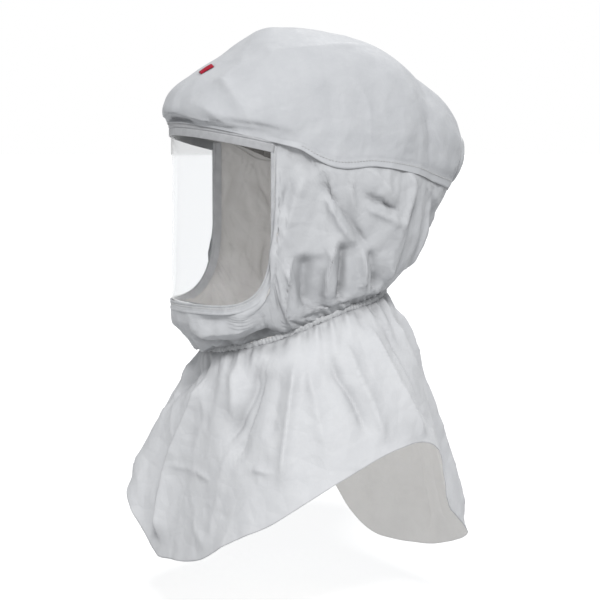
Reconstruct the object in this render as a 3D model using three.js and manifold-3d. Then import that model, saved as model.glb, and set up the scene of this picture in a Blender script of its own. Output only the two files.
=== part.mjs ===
// A loose-fitting hood for a powered air respirator, with the head suspension that carries it.
//
// The soft hood is sewn from fabric panels round a clear wrap-round visor. It is gathered by an
// elastic at the neck, and flares below it into a bib that lies over the chest and back. Inside, a
// moulded air duct runs from a round inlet at the back, over the crown, to a nozzle that blows
// down behind the visor. A headband with a ratchet holds the duct and the hood on the head.
//
// Millimetres, +Z up. The wearer faces -Y, and +X is the wearer's left. The origin is the middle
// of the head at the height of the forehead.

import * as THREE from "three";
import { mergeVertices } from "three/addons/utils/BufferGeometryUtils.js";
import Module from "manifold-3d";

const wasm = await Module();
wasm.setup();

// ---------------------------------------------------------------- driving dimensions

const GAP = 0.3; // clearance between pieces that touch
const FABRIC = 1.6; // panel thickness: 0.3 mm cloth with the loft of its creases
const COLUMNS = 36; // points round a ring of fabric

// The visor is part of an upright elliptic cylinder: half width, depth, and the axis behind it.
const VISOR = { width: 95, depth: 73, axis: -62, thick: 0.8 };
// The visor opening from the side: its back edge, its top at the front and at the back, its bottom.
const WINDOW = { back: -62, front: -170, topFront: -4, topBack: -24, bottom: -190, bend: -108 };
const BINDING = { width: 7, thick: 1.4 };
// The brow panel is the crown in front of and below these; the chin panel is the curtain there.
const BROW = { back: -72, top: 24 };
const CHIN = { back: -88, top: -150 };

// The rear air port: where its axis leaves the fabric, and how far that axis points down.
const PORT = { y: 168, z: -42, tilt: 14, hole: 22.6, patch: 33, flat: 33, blend: 76 };
const SOCKET = { bore: 18, wall: 22, flange: 28.5, inside: -24, outside: 9 };

// The headband is a stadium in a plane that tilts down to the back.
const BAND = { tilt: 22, z: -32, r: 80, centre: 21, thick: 2.2, half: 11 };
// The ratchet's pinion, and the middle radius and half thickness of the racks that it drives.
const RATCHET = { pitchRadius: 4, teeth: 8, racks: 78.7, rackHalf: 1 };
const DUCT_WALL = 1.8;
const SHELL_LIP = 1.4; // how far each half of the duct stops short of the joint between them
const NOZZLE = { y: -110, z: 17, lean: 35, half: 54 };
const CROWN_STRAP = { width: 18, thick: 1.6, top: 56, reach: 79.4 };

const rad = THREE.MathUtils.degToRad;
const lerp = THREE.MathUtils.lerp;
const V = (x, y, z) => new THREE.Vector3(x, y, z);
const root = new THREE.Group();

// ---------------------------------------------------------------- materials

const finish = (color, roughness, metalness = 0, more = {}) =>
  new THREE.MeshStandardMaterial({ color, roughness, metalness, ...more });
const MATERIAL = {
  cloth: finish(0xdcdee3, 0.75),
  binding: finish(0xb4b6bb, 0.7),
  visor: finish(0xf2f4f4, 0.05, 0, { transparent: true, opacity: 0.25 }),
  elastic: finish(0xe6e6e4, 0.85),
  tab: finish(0xb3122d, 0.7),
  shell: finish(0xc9ccce, 0.45),
  dark: finish(0x3a3e44, 0.5),
  foam: finish(0x26282c, 0.95),
  seal: finish(0x141414, 0.8),
  steel: finish(0xa8abb0, 0.35, 0.9),
  accent: finish(0x2f6fae, 0.5),
};

// ---------------------------------------------------------------- solids and booleans

function toSolid(geometry) {
  const plain = geometry.index ? geometry.toNonIndexed() : geometry.clone();
  plain.deleteAttribute("normal");
  plain.deleteAttribute("uv");
  const merged = mergeVertices(plain, 1e-4);
  const vertProperties = merged.attributes.position.array;
  const triVerts = new Uint32Array(merged.index.array);
  return new wasm.Manifold(new wasm.Mesh({ numProp: 3, vertProperties, triVerts }));
}

function toGeometry(solid) {
  const mesh = solid.getMesh();
  const geometry = new THREE.BufferGeometry();
  geometry.setAttribute("position", new THREE.BufferAttribute(mesh.vertProperties, 3));
  geometry.setIndex(new THREE.BufferAttribute(mesh.triVerts, 1));
  geometry.computeVertexNormals();
  return geometry;
}

const join = (...parts) => parts.map(toSolid).reduce((a, b) => a.add(b));
const cut = (body, ...tools) => tools.reduce((left, tool) => left.subtract(toSolid(tool)), body);
const keep = (body, tool) => body.intersect(toSolid(tool));

function add(name, made, material, parent = root) {
  const geometry = made.isBufferGeometry ? made : toGeometry(made);
  const mesh = new THREE.Mesh(geometry, material);
  mesh.name = name;
  parent.add(mesh);
}

function box(x0, x1, y0, y1, z0, z1) {
  const geometry = new THREE.BoxGeometry(x1 - x0, y1 - y0, z1 - z0);
  return geometry.translate((x0 + x1) / 2, (y0 + y1) / 2, (z0 + z1) / 2);
}

// A solid between two side-view outlines: a shape in (y, z) swept along X from x0 to x1.
function sideways(shape, x0, x1, curveSegments = 8) {
  const options = { depth: x1 - x0, bevelEnabled: false, curveSegments };
  const geometry = new THREE.ExtrudeGeometry(shape, options);
  const place = new THREE.Matrix4().makeBasis(V(0, 1, 0), V(0, 0, 1), V(1, 0, 0));
  return geometry.applyMatrix4(place).translate(x0, 0, 0);
}

// A washer about +Y from y0 to y1.
function washer(inner, outer, y0, y1, sides = 28) {
  const corners = [[inner, y0], [outer, y0], [outer, y1], [inner, y1], [inner, y0]];
  return new THREE.LatheGeometry(corners.map(([r, y]) => new THREE.Vector2(r, y)), sides);
}

// A round bar about +Y from y0 to y1.
function bar(r, y0, y1, sides = 20) {
  return new THREE.CylinderGeometry(r, r, y1 - y0, sides).translate(0, (y0 + y1) / 2, 0);
}

// Part of a flat ring about an upright axis at (0, y), between the radii r0 and r1. The angles are in
// degrees, from +X to +Y.
function arc(y, r0, r1, from, to, z0, z1, curveSegments = 14) {
  const shape = new THREE.Shape();
  shape.absarc(0, y, r1, rad(from), rad(to), false);
  shape.absarc(0, y, r0, rad(to), rad(from), true);
  const options = { depth: z1 - z0, bevelEnabled: false, curveSegments };
  return new THREE.ExtrudeGeometry(shape, options).translate(0, 0, z0);
}

// ---------------------------------------------------------------- nets of rings, and sheets on them

// Catmull-Rom between b and c.
function between(a, b, c, d, t) {
  const t2 = t * t;
  const t3 = t2 * t;
  return V(0, 0, 0)
    .addScaledVector(a, (-t3 + 2 * t2 - t) / 2)
    .addScaledVector(b, (3 * t3 - 5 * t2 + 2) / 2)
    .addScaledVector(c, (-3 * t3 + 4 * t2 + t) / 2)
    .addScaledVector(d, (t3 - t2) / 2);
}

// A point of a closed ring, a steps round it.
function around(ring, a) {
  const n = ring.length;
  const i = Math.floor(a);
  const at = (k) => ring[(((i + k) % n) + n) % n];
  return between(at(-1), at(0), at(1), at(2), a - i);
}

// A closed ring from its +X half, which runs from the front to the back.
function mirrored(half) {
  const left = half.map((p) => V(...p));
  const right = left.slice(1, -1).reverse().map((p) => V(-p.x, p.y, p.z));
  return [...left, ...right];
}

// The point of a net, a steps round its rings and s rings down it. Its first ring is a single point.
function onNet(rings, a, s) {
  const last = rings.length - 1;
  const i = Math.min(Math.floor(s), last - 1);
  const half = rings[0].length / 2;
  const ring = (k) => (k < 0 ? around(rings[-k], a + half) : around(rings[Math.min(k, last)], a));
  return between(ring(i - 1), ring(i), ring(i + 1), ring(i + 2), s - i);
}

// A closed solid from a grid of points, grown inwards by its thickness. Rows run down the grid.
// loop: each row runs all the way round. pole: the first row is one point.
function sheet(grid, thickness, { loop = false, pole = false } = {}) {
  const rows = grid.length;
  const columns = grid[0].length;
  const column = (j) => (loop ? (j + columns) % columns : Math.max(0, Math.min(columns - 1, j)));
  const inner = grid.map((line, i) =>
    line.map((p, j) => {
      const before = grid[Math.max(0, i - 1)][j];
      const after = grid[Math.min(rows - 1, i + 1)][j];
      const down = V(0, 0, 0).subVectors(after, before);
      const across = V(0, 0, 0).subVectors(grid[i][column(j + 1)], grid[i][column(j - 1)]);
      const out = pole && i === 0 ? V(0, 0, 1) : down.cross(across).normalize();
      return p.clone().addScaledVector(out, -thickness);
    }),
  );
  const vertices = [];
  const triangle = (...corners) => {
    const [a, b, c] = corners;
    if (a.distanceTo(b) < 1e-4 || b.distanceTo(c) < 1e-4 || c.distanceTo(a) < 1e-4) return;
    vertices.push(...corners.flatMap((p) => p.toArray()));
  };
  const quad = (a, b, c, d) => {
    triangle(a, b, c);
    triangle(a, c, d);
  };
  const last = rows - 1;
  for (let j = 0; j < (loop ? columns : columns - 1); j++) {
    const k = column(j + 1);
    for (let i = 0; i < last; i++) {
      quad(grid[i][j], grid[i + 1][j], grid[i + 1][k], grid[i][k]);
      quad(inner[i][j], inner[i][k], inner[i + 1][k], inner[i + 1][j]);
    }
    if (!pole) quad(grid[0][j], grid[0][k], inner[0][k], inner[0][j]);
    quad(grid[last][j], inner[last][j], inner[last][k], grid[last][k]);
  }
  const end = columns - 1;
  for (let i = 0; i < last && !loop; i++) {
    quad(grid[i][0], inner[i][0], inner[i + 1][0], grid[i + 1][0]);
    quad(grid[i][end], grid[i + 1][end], inner[i + 1][end], inner[i][end]);
  }
  const geometry = new THREE.BufferGeometry();
  geometry.setAttribute("position", new THREE.Float32BufferAttribute(vertices, 3));
  return geometry;
}

// A grid of rows + 1 by columns points. point is given the share of the way down, and the column.
function gridOf(rows, columns, point) {
  const line = (t) => Array.from({ length: columns }, (_, j) => point(t, j));
  return Array.from({ length: rows + 1 }, (_, i) => line(i / rows));
}

// ---------------------------------------------------------------- the hood's shape

// Rings down the hood, each its +X half from the front to the back. The crown's seam is ring 6,
// the visor opening lies between rings 6 and 10, and the last ring is the neck.
const HOOD = [
  Array(9).fill([0, -18, 95]),
  [
    [0, -46, 90], [16, -44, 90], [28, -36, 89], [36, -26, 88], [38, -14, 88],
    [34, 2, 89], [25, 12, 90], [13, 19, 91], [0, 22, 92],
  ],
  [
    [0, -88, 63], [34, -82, 62], [58, -64, 66], [70, -40, 69], [75, -10, 71],
    [69, 24, 73], [52, 50, 76], [27, 64, 79], [0, 69, 80],
  ],
  [
    [0, -119, 43], [47, -110, 41], [77, -84, 42], [91, -52, 43], [96, -10, 44],
    [91, 36, 46], [73, 74, 51], [40, 97, 57], [0, 104, 60],
  ],
  [
    [0, -137, 29], [56, -124, 24], [87, -94, 20], [101, -56, 16], [105, -8, 14],
    [101, 42, 15], [84, 88, 20], [48, 121, 27], [0, 131, 32],
  ],
  [
    [0, -143, 14], [58, -129, 9], [92, -97, 3], [103, -58, -4], [109, -8, -12],
    [107, 45, -14], [91, 94, -12], [54, 130, -8], [0, 145, -2],
  ],
  [
    [0, -139, 1], [53, -128, -1], [88, -99, -5], [100, -60, -13], [111, -8, -40],
    [108, 42, -42], [91, 92, -50], [56, 128, -60], [0, 149, -68],
  ],
  [
    [0, -136, -16], [48, -126, -17], [83, -99, -20], [97, -61, -32], [113, -6, -74],
    [110, 43, -76], [93, 90, -84], [57, 121, -92], [0, 140, -97],
  ],
  [
    [0, -136, -80], [48, -126, -81], [83, -99, -84], [98, -60, -92], [115, -5, -112],
    [110, 42, -112], [94, 86, -116], [58, 115, -120], [0, 130, -123],
  ],
  [
    [0, -136, -148], [48, -126, -148], [82, -99, -148], [97, -62, -148], [110, -8, -150],
    [105, 36, -145], [88, 75, -143], [54, 100, -142], [0, 113, -142],
  ],
  [
    [0, -136, -196], [47, -126, -196], [79, -99, -194], [92, -64, -187], [100, -12, -178],
    [95, 30, -167], [80, 63, -161], [49, 86, -158], [0, 98, -157],
  ],
  [
    [0, -129, -216], [42, -120, -216], [70, -96, -212], [85, -62, -205], [92, -12, -193],
    [89, 27, -180], [75, 58, -172], [46, 78, -168], [0, 87, -167],
  ],
  [
    [0, -99, -236], [33, -92, -234], [60, -72, -227], [79, -41, -216], [86, -5, -201],
    [79, 31, -190], [60, 62, -183], [33, 82, -178], [0, 89, -176],
  ],
].map(mirrored);
const SEAM = 6;
const NECK = HOOD.length - 1;

// The hem, all the way round from the front by +X: long over the chest and back, cut up over the
// shoulders, and hanging a little lower on the -X side of the back.
const HEM = [
  [0, -142, -455], [52, -129, -447], [101, -108, -421], [138, -74, -396], [157, -14, -357], [150, 50, -329],
  [127, 99, -331], [84, 134, -396], [14, 186, -448], [-72, 168, -470], [-123, 123, -456], [-152, 52, -352],
  [-156, -20, -350], [-142, -92, -360], [-100, -160, -392], [-46, -150, -450],
].map((p) => V(...p));

const portAxis = V(0, Math.cos(rad(PORT.tilt)), -Math.sin(rad(PORT.tilt)));

// Draws the fabric out to the flat round port at the back.
function drawnToPort(p) {
  const away = V(0, 0, 0).subVectors(p, V(0, PORT.y, PORT.z));
  const depth = away.dot(portAxis);
  const r = away.clone().addScaledVector(portAxis, -depth).length();
  const share = THREE.MathUtils.clamp((r - PORT.flat) / (PORT.blend - PORT.flat), 0, 1);
  return p.y < 0 ? p : p.clone().addScaledVector(portAxis, depth * (share - 1));
}

function hoodGrid(rows, from, to) {
  const point = (t, j) => onNet(HOOD, (j * HOOD[0].length) / COLUMNS, lerp(from, to, t));
  return gridOf(rows, COLUMNS, (t, j) => drawnToPort(point(t, j)));
}

// ---------------------------------------------------------------- visor and binding

// The visor opening from the side, grown outwards by a margin.
function windowShape(margin) {
  const { back, front, topFront, topBack, bottom, bend } = WINDOW;
  const low = bottom - margin;
  const shape = new THREE.Shape();
  shape.moveTo(front, topFront + margin);
  shape.lineTo(VISOR.axis - VISOR.depth, topFront + margin);
  shape.lineTo(back + margin, topBack + margin);
  shape.lineTo(back + margin, bend);
  shape.bezierCurveTo(back + margin, bottom + 28, back - 14 + margin, low, back - 54, low);
  shape.lineTo(front, low);
  return shape;
}
const WIDE = 140; // half length of the cutters that cross the whole hood
const windowCut = (margin) => sideways(windowShape(margin), -WIDE, WIDE);

// A strip of the visor's elliptic cylinder, grown outwards by out, and thick deep.
function ellipticStrip(out, thick, steps = 24) {
  const reach = rad(100);
  const grid = gridOf(1, steps + 1, (t, j) => {
    const turn = lerp(-reach, reach, j / steps);
    const x = (VISOR.width + out) * Math.sin(turn);
    const y = VISOR.axis - (VISOR.depth + out) * Math.cos(turn);
    return V(x, y, lerp(WINDOW.topFront + 30, WINDOW.bottom - 30, t));
  });
  return sheet(grid, thick);
}

function addVisor() {
  add("visor", keep(toSolid(ellipticStrip(0, VISOR.thick)), windowCut(0)), MATERIAL.visor);
  const frame = keep(toSolid(ellipticStrip(GAP + BINDING.thick, BINDING.thick)), windowCut(0));
  const tape = cut(frame, windowCut(-BINDING.width));
  const front = WINDOW.front;
  const under = new THREE.Shape();
  under.moveTo(front, WINDOW.topFront - BINDING.width);
  under.lineTo(VISOR.axis - VISOR.depth, WINDOW.topFront - BINDING.width);
  under.lineTo(WINDOW.back + 10, WINDOW.topBack - BINDING.width - 2);
  under.lineTo(WINDOW.back + 10, 60);
  under.lineTo(front, 60);
  const above = sideways(under, -WIDE, WIDE);
  add("visor_top_binding", keep(tape, above), MATERIAL.binding);
  const lower = cut(tape, above.clone().translate(0, 0, -GAP));
  add("visor_edge_binding", lower, MATERIAL.binding);
}

// ---------------------------------------------------------------- hood panels

function addHood() {
  const seam = 0.03; // share of a ring left open between two panels
  const crown = toSolid(sheet(hoodGrid(9, 0, SEAM), FABRIC, { loop: true, pole: true }));
  const atPort = (geometry) => geometry.rotateX(-rad(PORT.tilt)).translate(0, PORT.y, PORT.z);
  const portHole = atPort(bar(PORT.patch + GAP, -60, 40, 28));
  const { back: browBack, top: browTop } = BROW;
  const brow = (gap) => box(-WIDE, WIDE, -WIDE - 40, browBack + gap, -60, browTop + gap);
  add("brow_panel", keep(crown, brow(0)), MATERIAL.cloth);
  add("crown_panel", cut(crown, brow(GAP), portHole), MATERIAL.cloth);

  // The curtain's last row lies just above the neck's elastic.
  const [neckline] = gridOf(1, COLUMNS, (t, j) => neckPoint(j, 3.8, 0));
  const rings = [...hoodGrid(8, SEAM + seam, NECK - 1), neckline];
  const curtain = toSolid(sheet(rings, FABRIC, { loop: true }));
  const open = cut(curtain, windowCut(GAP), portHole);
  const { back: chinBack, top: chinTop } = CHIN;
  const chin = (gap) => box(-WIDE, WIDE, -WIDE - 40, chinBack + gap, -260, chinTop + gap);
  add("chin_panel", keep(open, chin(0)), MATERIAL.cloth);
  const sides = cut(open, chin(GAP));
  const sliced = (x0, x1) => keep(sides, box(x0, x1, -WIDE - 40, 220, -260, 60));
  add("left_side_panel", sliced(GAP / 2, WIDE), MATERIAL.cloth);
  add("right_side_panel", sliced(-WIDE, -GAP / 2), MATERIAL.cloth);
}

// The neck ring, moved up or down and grown outwards.
function neckPoint(j, up, out) {
  const p = around(HOOD[NECK], (j * HOOD[NECK].length) / COLUMNS);
  const radial = V(p.x, p.y + 5, 0).normalize();
  return p.clone().addScaledVector(radial, out).add(V(0, 0, up));
}

function addNeckElastic() {
  const bulge = (t) => 0.6 + Math.sin(Math.PI * t);
  const grid = gridOf(2, COLUMNS, (t, j) => neckPoint(j, lerp(3.2, -4.4, t), bulge(t)));
  add("neck_elastic", sheet(grid, 2.6, { loop: true }), MATERIAL.elastic);
}

function addBibs() {
  const column = (j) => ((j % COLUMNS) + COLUMNS) % COLUMNS;
  const point = (t, j) => {
    const top = neckPoint(column(j), -4.8, 0);
    const hem = around(HEM, (column(j) * HEM.length) / COLUMNS);
    const flare = Math.pow(t, 0.72);
    return V(lerp(top.x, hem.x, flare), lerp(top.y, hem.y, flare), lerp(top.z, hem.z, t));
  };
  const side = 13; // columns from the front to each shoulder seam
  const front = gridOf(6, 2 * side + 1, (t, j) => point(t, j - side));
  add("front_bib", sheet(front, FABRIC), MATERIAL.cloth);
  const across = COLUMNS - 2 * side; // the back bib has the rest
  // The back bib stops a little short of the front one at both shoulder seams.
  const inset = (j) => (j === 0 ? 0.1 : 0) - (j === across ? 0.1 : 0);
  const back = gridOf(6, across + 1, (t, j) => point(t, j + side + inset(j)));
  add("back_bib", sheet(back, FABRIC), MATERIAL.cloth);
}

// A small woven tab sewn flat on the front of the crown.
function addFrontTab() {
  const rest = hoodPointFront(-98);
  const tab = new THREE.BoxGeometry(16, 13, 1).translate(0, 0, 1.2);
  tab.rotateX(rad(33)).translate(0, rest.y, rest.z);
  add("front_tab", tab, MATERIAL.tab);
}

// The point of the crown's middle line at a given y, in front of the top.
function hoodPointFront(y) {
  let s = 0;
  while (onNet(HOOD, 0, s).y > y) s += 0.01;
  return onNet(HOOD, 0, s);
}

// ---------------------------------------------------------------- air duct

// Stations of the duct's middle line from below the socket to the nozzle, in the plane x = 0:
// [y, z, half width, half height].
const PATH = [
  [130, -60, 26, 9], [133, -48, 28, 15], [131, -34, 29, 17], [125, -15, 31, 16], [115, 6, 34, 13],
  [102, 25, 39, 11], [82, 43, 44, 9], [55, 58, 46, 8.5], [22, 69, 46, 8.5], [-12, 72, 46, 8.5],
  [-46, 66, 46, 8.5], [-76, 51, 48, 8.5], [-98, 34, 52, 8], [-110, 17, 56, 7],
];

// A point of the duct's skin, across from -1 to 1 on its upper (side 1) or lower (side -1) shell.
function ductPoint(station, across, side) {
  const [y, z, halfWidth, halfHeight] = PATH[station];
  const [y0, z0] = PATH[Math.max(0, station - 1)];
  const [y1, z1] = PATH[Math.min(PATH.length - 1, station + 1)];
  const up = V(0, z1 - z0, y0 - y1).normalize();
  const turn = rad(90 - 90 * across);
  const squared = (v) => Math.sign(v) * Math.pow(Math.abs(v), 0.6);
  const rise = Math.max(halfHeight * squared(Math.sin(turn)), SHELL_LIP);
  return V(halfWidth * squared(Math.cos(turn)), y, z).addScaledVector(up, rise * side);
}

function addDuct() {
  const steps = 10;
  const stations = PATH.map((_, i) => PATH.length - 1 - i);
  const across = Array.from({ length: steps + 1 }, (_, j) => 1 - (2 * j) / steps);
  const shell = (side) => {
    const row = (i) => across.map((share) => ductPoint(i, side * share, side));
    return toSolid(sheet(stations.map(row), DUCT_WALL));
  };
  const socket = bar(SOCKET.wall + GAP, -70, 20, 28).rotateX(-rad(PORT.tilt)).translate(0, PORT.y, PORT.z);
  const front = box(-WIDE, WIDE, PORT.y - 38, PORT.y, -120, 0);
  const upper = shell(1);
  add("duct_upper_shell", upper.subtract(keep(toSolid(socket), front)), MATERIAL.shell);
  add("duct_lower_shell", shell(-1), MATERIAL.shell);

  // The cap closes the duct's low end.
  const cap = new THREE.Shape().absellipse(0, 0, 24, 7.4, 0, 2 * Math.PI);
  const plate = new THREE.ExtrudeGeometry(cap, { depth: 2, bevelEnabled: false, curveSegments: 12 });
  add("duct_end_cap", plate.rotateX(-rad(14)).translate(0, 129.6, -62.4), MATERIAL.shell);
}

// The nozzle's group has +Z back up the duct, with zero at the duct's end.
function addNozzle() {
  const group = new THREE.Group();
  group.position.set(0, NOZZLE.y, NOZZLE.z);
  group.rotation.x = rad(NOZZLE.lean) * -1;
  root.add(group);
  const { half } = NOZZLE;
  const slot = 7;
  const slots = [-38, -19, 0, 19, 38].map((x) => box(x - slot, x + slot, -3.4, 3.4, -4, 4));
  const frame = toSolid(box(-half, half, -6.5, 6.5, -2.3, -GAP));
  add("nozzle_grille", cut(frame, ...slots), MATERIAL.dark, group);
  // The shutter slides along the grille and covers part of its slots. The wearer moves it by a tab.
  const holes = [-19, 0, 19].map((x) => box(x - slot, x + slot, -3.4, 3.4, -9, 4));
  const plate = toSolid(box(16 - half, half - 16, -5.4, 5.4, -4.2, -2.3 - GAP));
  add("shutter_plate", cut(plate, ...holes), MATERIAL.accent, group);
  const tab = join(box(-5, 5, 5.7, 14, -5.6, -3.6), box(-1.5, 1.5, 9, 14, -8.6, -3.6));
  add("airflow_tab", tab, MATERIAL.accent, group);
}

// ---------------------------------------------------------------- rear port

// The port's group has +Y out along its axis, with zero at the fabric's outer face.
function addPort() {
  const group = new THREE.Group();
  group.position.set(0, PORT.y, PORT.z);
  group.rotation.x = -rad(PORT.tilt);
  root.add(group);
  const { bore, wall, flange, inside, outside } = SOCKET;
  const under = -FABRIC - GAP; // just inside the fabric
  add("port_patch", washer(PORT.hole, PORT.patch, -FABRIC, 0, 28), MATERIAL.cloth, group);
  const tube = washer(bore, wall, inside, outside);
  const rim = washer(wall - 1, flange, under - 2, under);
  const step = washer(bore - 3, wall - 1, inside, inside + 2);
  // Two short keys on the outside of the tube hold the clamp ring on.
  const keys = [0, 180].map((turn) => box(wall - 1, wall + 1.8, 6.8, 8.6, -4, 4).rotateY(rad(turn)));
  add("inlet_socket", join(tube, rim, step, ...keys), MATERIAL.shell, group);
  add("inlet_seal", washer(bore - 2.6, bore - GAP, inside + 2 + GAP, inside + 5), MATERIAL.seal, group);
  // The clamp ring presses the fabric on the flange. Its two lugs are its grip.
  const ring = washer(wall + GAP, wall + 5.4, 0.9, 6.4);
  const lugs = [90, 270].map((turn) => box(wall + 4, wall + 8, 1.2, 5.6, -5, 5).rotateY(rad(turn)));
  add("clamp_ring", join(ring, ...lugs), MATERIAL.shell, group);
}

// ---------------------------------------------------------------- headband

// The band's group lies in the band's own plane: +Z is its axis, and the forehead is at -Y.
const band = new THREE.Group();
band.position.set(0, 0, BAND.z);
band.rotation.x = -rad(BAND.tilt);

function addHeadband() {
  root.add(band);
  const { r, centre, thick, half } = BAND;
  const outer = r + thick;
  const front = join(
    arc(-centre, r, outer, 180, 360, -half, half, 22),
    box(r, outer, -centre - 0.5, centre + 0.5, -half, half),
    box(-outer, -r, -centre - 0.5, centre + 0.5, -half, half),
    arc(centre, r, outer, 0, 38, -half, half, 8),
    arc(centre, r, outer, 142, 180, -half, half, 8),
  );
  add("front_band", front, MATERIAL.dark, band);
  add("sweatband", arc(-centre, r - 5, r - GAP, 208, 332, -half - 2, half + 2, 18), MATERIAL.foam, band);
}

// Teeth on a rack that curves round the band. up is 1 for the lower rack, whose teeth point up.
function rackTeeth(up) {
  const { pitchRadius, teeth, racks, rackHalf } = RATCHET;
  const pitch = (360 / teeth) * (pitchRadius / racks);
  const count = 11;
  const ends = [-up * (pitchRadius + 1.3), -up * (pitchRadius - 0.6)].sort((a, b) => a - b);
  return Array.from({ length: count }, (_, i) => {
    const middle = 90 + (i - (count - 1) / 2 + 0.5) * pitch;
    return arc(BAND.centre, racks - rackHalf, racks + rackHalf, middle - 0.36, middle + 0.36, ...ends, 1);
  });
}

// The two tails of the headband overlap behind the head, one rack above the pinion and one below.
function addTails() {
  const { centre, half } = BAND;
  const { pitchRadius, racks, rackHalf } = RATCHET;
  const tall = half - 2;
  const edge = pitchRadius + 1.2;
  const [inside, outside] = [racks - rackHalf, racks + rackHalf];
  const strip = (from, to, z0, z1) => arc(centre, inside, outside, from, to, z0, z1, 10);
  const left = join(strip(12, 54, -tall, tall), strip(53, 102.5, edge, tall), ...rackTeeth(-1));
  const right = join(strip(126, 168, -tall, tall), strip(77.5, 127, -tall, -edge), ...rackTeeth(1));
  add("left_tail", left, MATERIAL.shell, band);
  add("right_tail", right, MATERIAL.shell, band);
}

// The ratchet's group has +Y out along the pinion's axis, with zero at the middle of the racks.
function addRatchet() {
  const { centre } = BAND;
  const { pitchRadius, teeth, racks } = RATCHET;
  const group = new THREE.Group();
  group.position.set(0, centre + racks, 0);
  band.add(group);

  const shaft = 2.2;
  const hole = shaft + 0.3;
  const curved = (y0, y1, z0, z1) => arc(-racks, racks + y0, racks + y1, 73, 107, z0, z1, 8);
  const base = cut(toSolid(curved(-4.4, -1.4, -14, 14)), bar(hole, -9, 9));
  add("ratchet_base", base, MATERIAL.dark, group);
  add("nape_pad", curved(-12, -4.4 - GAP, -15, 15), MATERIAL.foam, group);

  const screws = [-14, 14].flatMap((turn) => [-12.4, 12.4].map((z) => [turn, z]));
  const placed = (geometry, [turn, z]) =>
    geometry.translate(0, racks, 0).rotateZ(rad(turn)).translate(0, -racks, z);
  const cover = cut(
    join(curved(1.6, 4.2, -14.5, 14.5), curved(-1.1, 2, 10.2, 14.5), curved(-1.1, 2, -14.5, -10.2)),
    bar(hole, -9, 9),
    ...screws.map((at) => placed(bar(1.1, -3, 7, 10), at)),
  );
  add("ratchet_cover", cover, MATERIAL.dark, group);
  screws.forEach((at, i) => {
    const screw = toGeometry(join(bar(0.8, -0.9, 4.8, 10), bar(1.9, 4.5, 5.6, 14)));
    add(`cover_screw_${i + 1}`, placed(screw, at), MATERIAL.steel, group);
  });

  const step = (2 * Math.PI) / teeth;
  const spokes = Array.from({ length: teeth }, (_, i) =>
    box(-0.5, 0.5, -1.1, 1.1, 2.4, pitchRadius + 0.7).rotateY(i * step));
  add("ratchet_pinion", join(bar(3, -1.1, 1.1), bar(shaft, -3.6, 12), ...spokes), MATERIAL.steel, group);
  const grip = (_, i) => bar(1.6, 6.5, 16, 8).translate(15, 0, 0).rotateY((i * Math.PI) / 6);
  const grips = Array.from({ length: 12 }, grip);
  const knob = cut(join(bar(15, 6, 16, 36), ...grips), bar(hole, 0, 12 + GAP));
  add("size_knob", knob, MATERIAL.accent, group);
}

// ---------------------------------------------------------------- suspension

// A strap on the arch over the head, between two angles from the top. A strap runs along Y by its
// width, and lies inwards of the arch by inset.
function archStrap(from, to, inset, material, name) {
  const { width, thick, top, reach } = CROWN_STRAP;
  const steps = 16;
  const low = BAND.z - 8;
  const grid = gridOf(1, steps + 1, (t, j) => {
    const turn = rad(lerp(from, to, j / steps));
    const x = (reach - inset) * Math.sign(Math.sin(turn)) * Math.pow(Math.abs(Math.sin(turn)), 0.85);
    const z = low + (top - low - inset) * Math.pow(Math.max(0, Math.cos(turn)), 0.85);
    return V(x, -4 + width / 2 - width * t, z);
  });
  add(name, sheet(grid, thick), material);
}

function addSuspension() {
  const { thick, top } = CROWN_STRAP;
  archStrap(-12, 90, 0, MATERIAL.dark, "left_crown_strap");
  archStrap(-90, 12, thick + GAP, MATERIAL.dark, "right_crown_strap");
  const pad = new THREE.Shape().absarc(0, 0, 26, 0, 2 * Math.PI);
  const block = new THREE.ExtrudeGeometry(pad, { depth: 6, bevelEnabled: false, curveSegments: 12 });
  add("crown_pad", block.translate(0, -4, top - 14.5), MATERIAL.foam);

  // The hangers carry the duct on the headband.
  for (const [name, side] of [["left_hanger", 1], ["right_hanger", -1]]) {
    const points = [[48.5, 70], [58, 66], [70, 52], [80, 28], [84.2, 0], [84.2, -34]];
    const curve = new THREE.CatmullRomCurve3(points.map(([x, z]) => V(x, 0, z)));
    const grid = gridOf(1, 15, (t, j) => {
      const p = curve.getPoint(j / 14);
      return V(side * p.x, side * (t - 0.5) * -16 + 10, p.z);
    });
    add(name, sheet(grid, 1.6), MATERIAL.dark);
  }
  const corners = [[98.6, -53], [101, -54], [103.4, -12], [101, -9]];
  const rear = new THREE.Shape(corners.map((corner) => new THREE.Vector2(...corner)));
  add("rear_hanger", sideways(rear, -12, 12), MATERIAL.dark);

  // A curved bracket behind the visor's top edge carries the brow.
  const bracket = keep(toSolid(ellipticStrip(-3, 1.6)), box(-88, 88, -140, -78, -8, 4));
  add("brow_bracket", bracket, MATERIAL.shell);
}

addHood();
addFrontTab();
addVisor();
addNeckElastic();
addBibs();
addDuct();
addNozzle();
addPort();
addHeadband();
addTails();
addRatchet();
addSuspension();

export default root;
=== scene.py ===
import math

import bpy
import numpy as np
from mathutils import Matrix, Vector, noise


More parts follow.
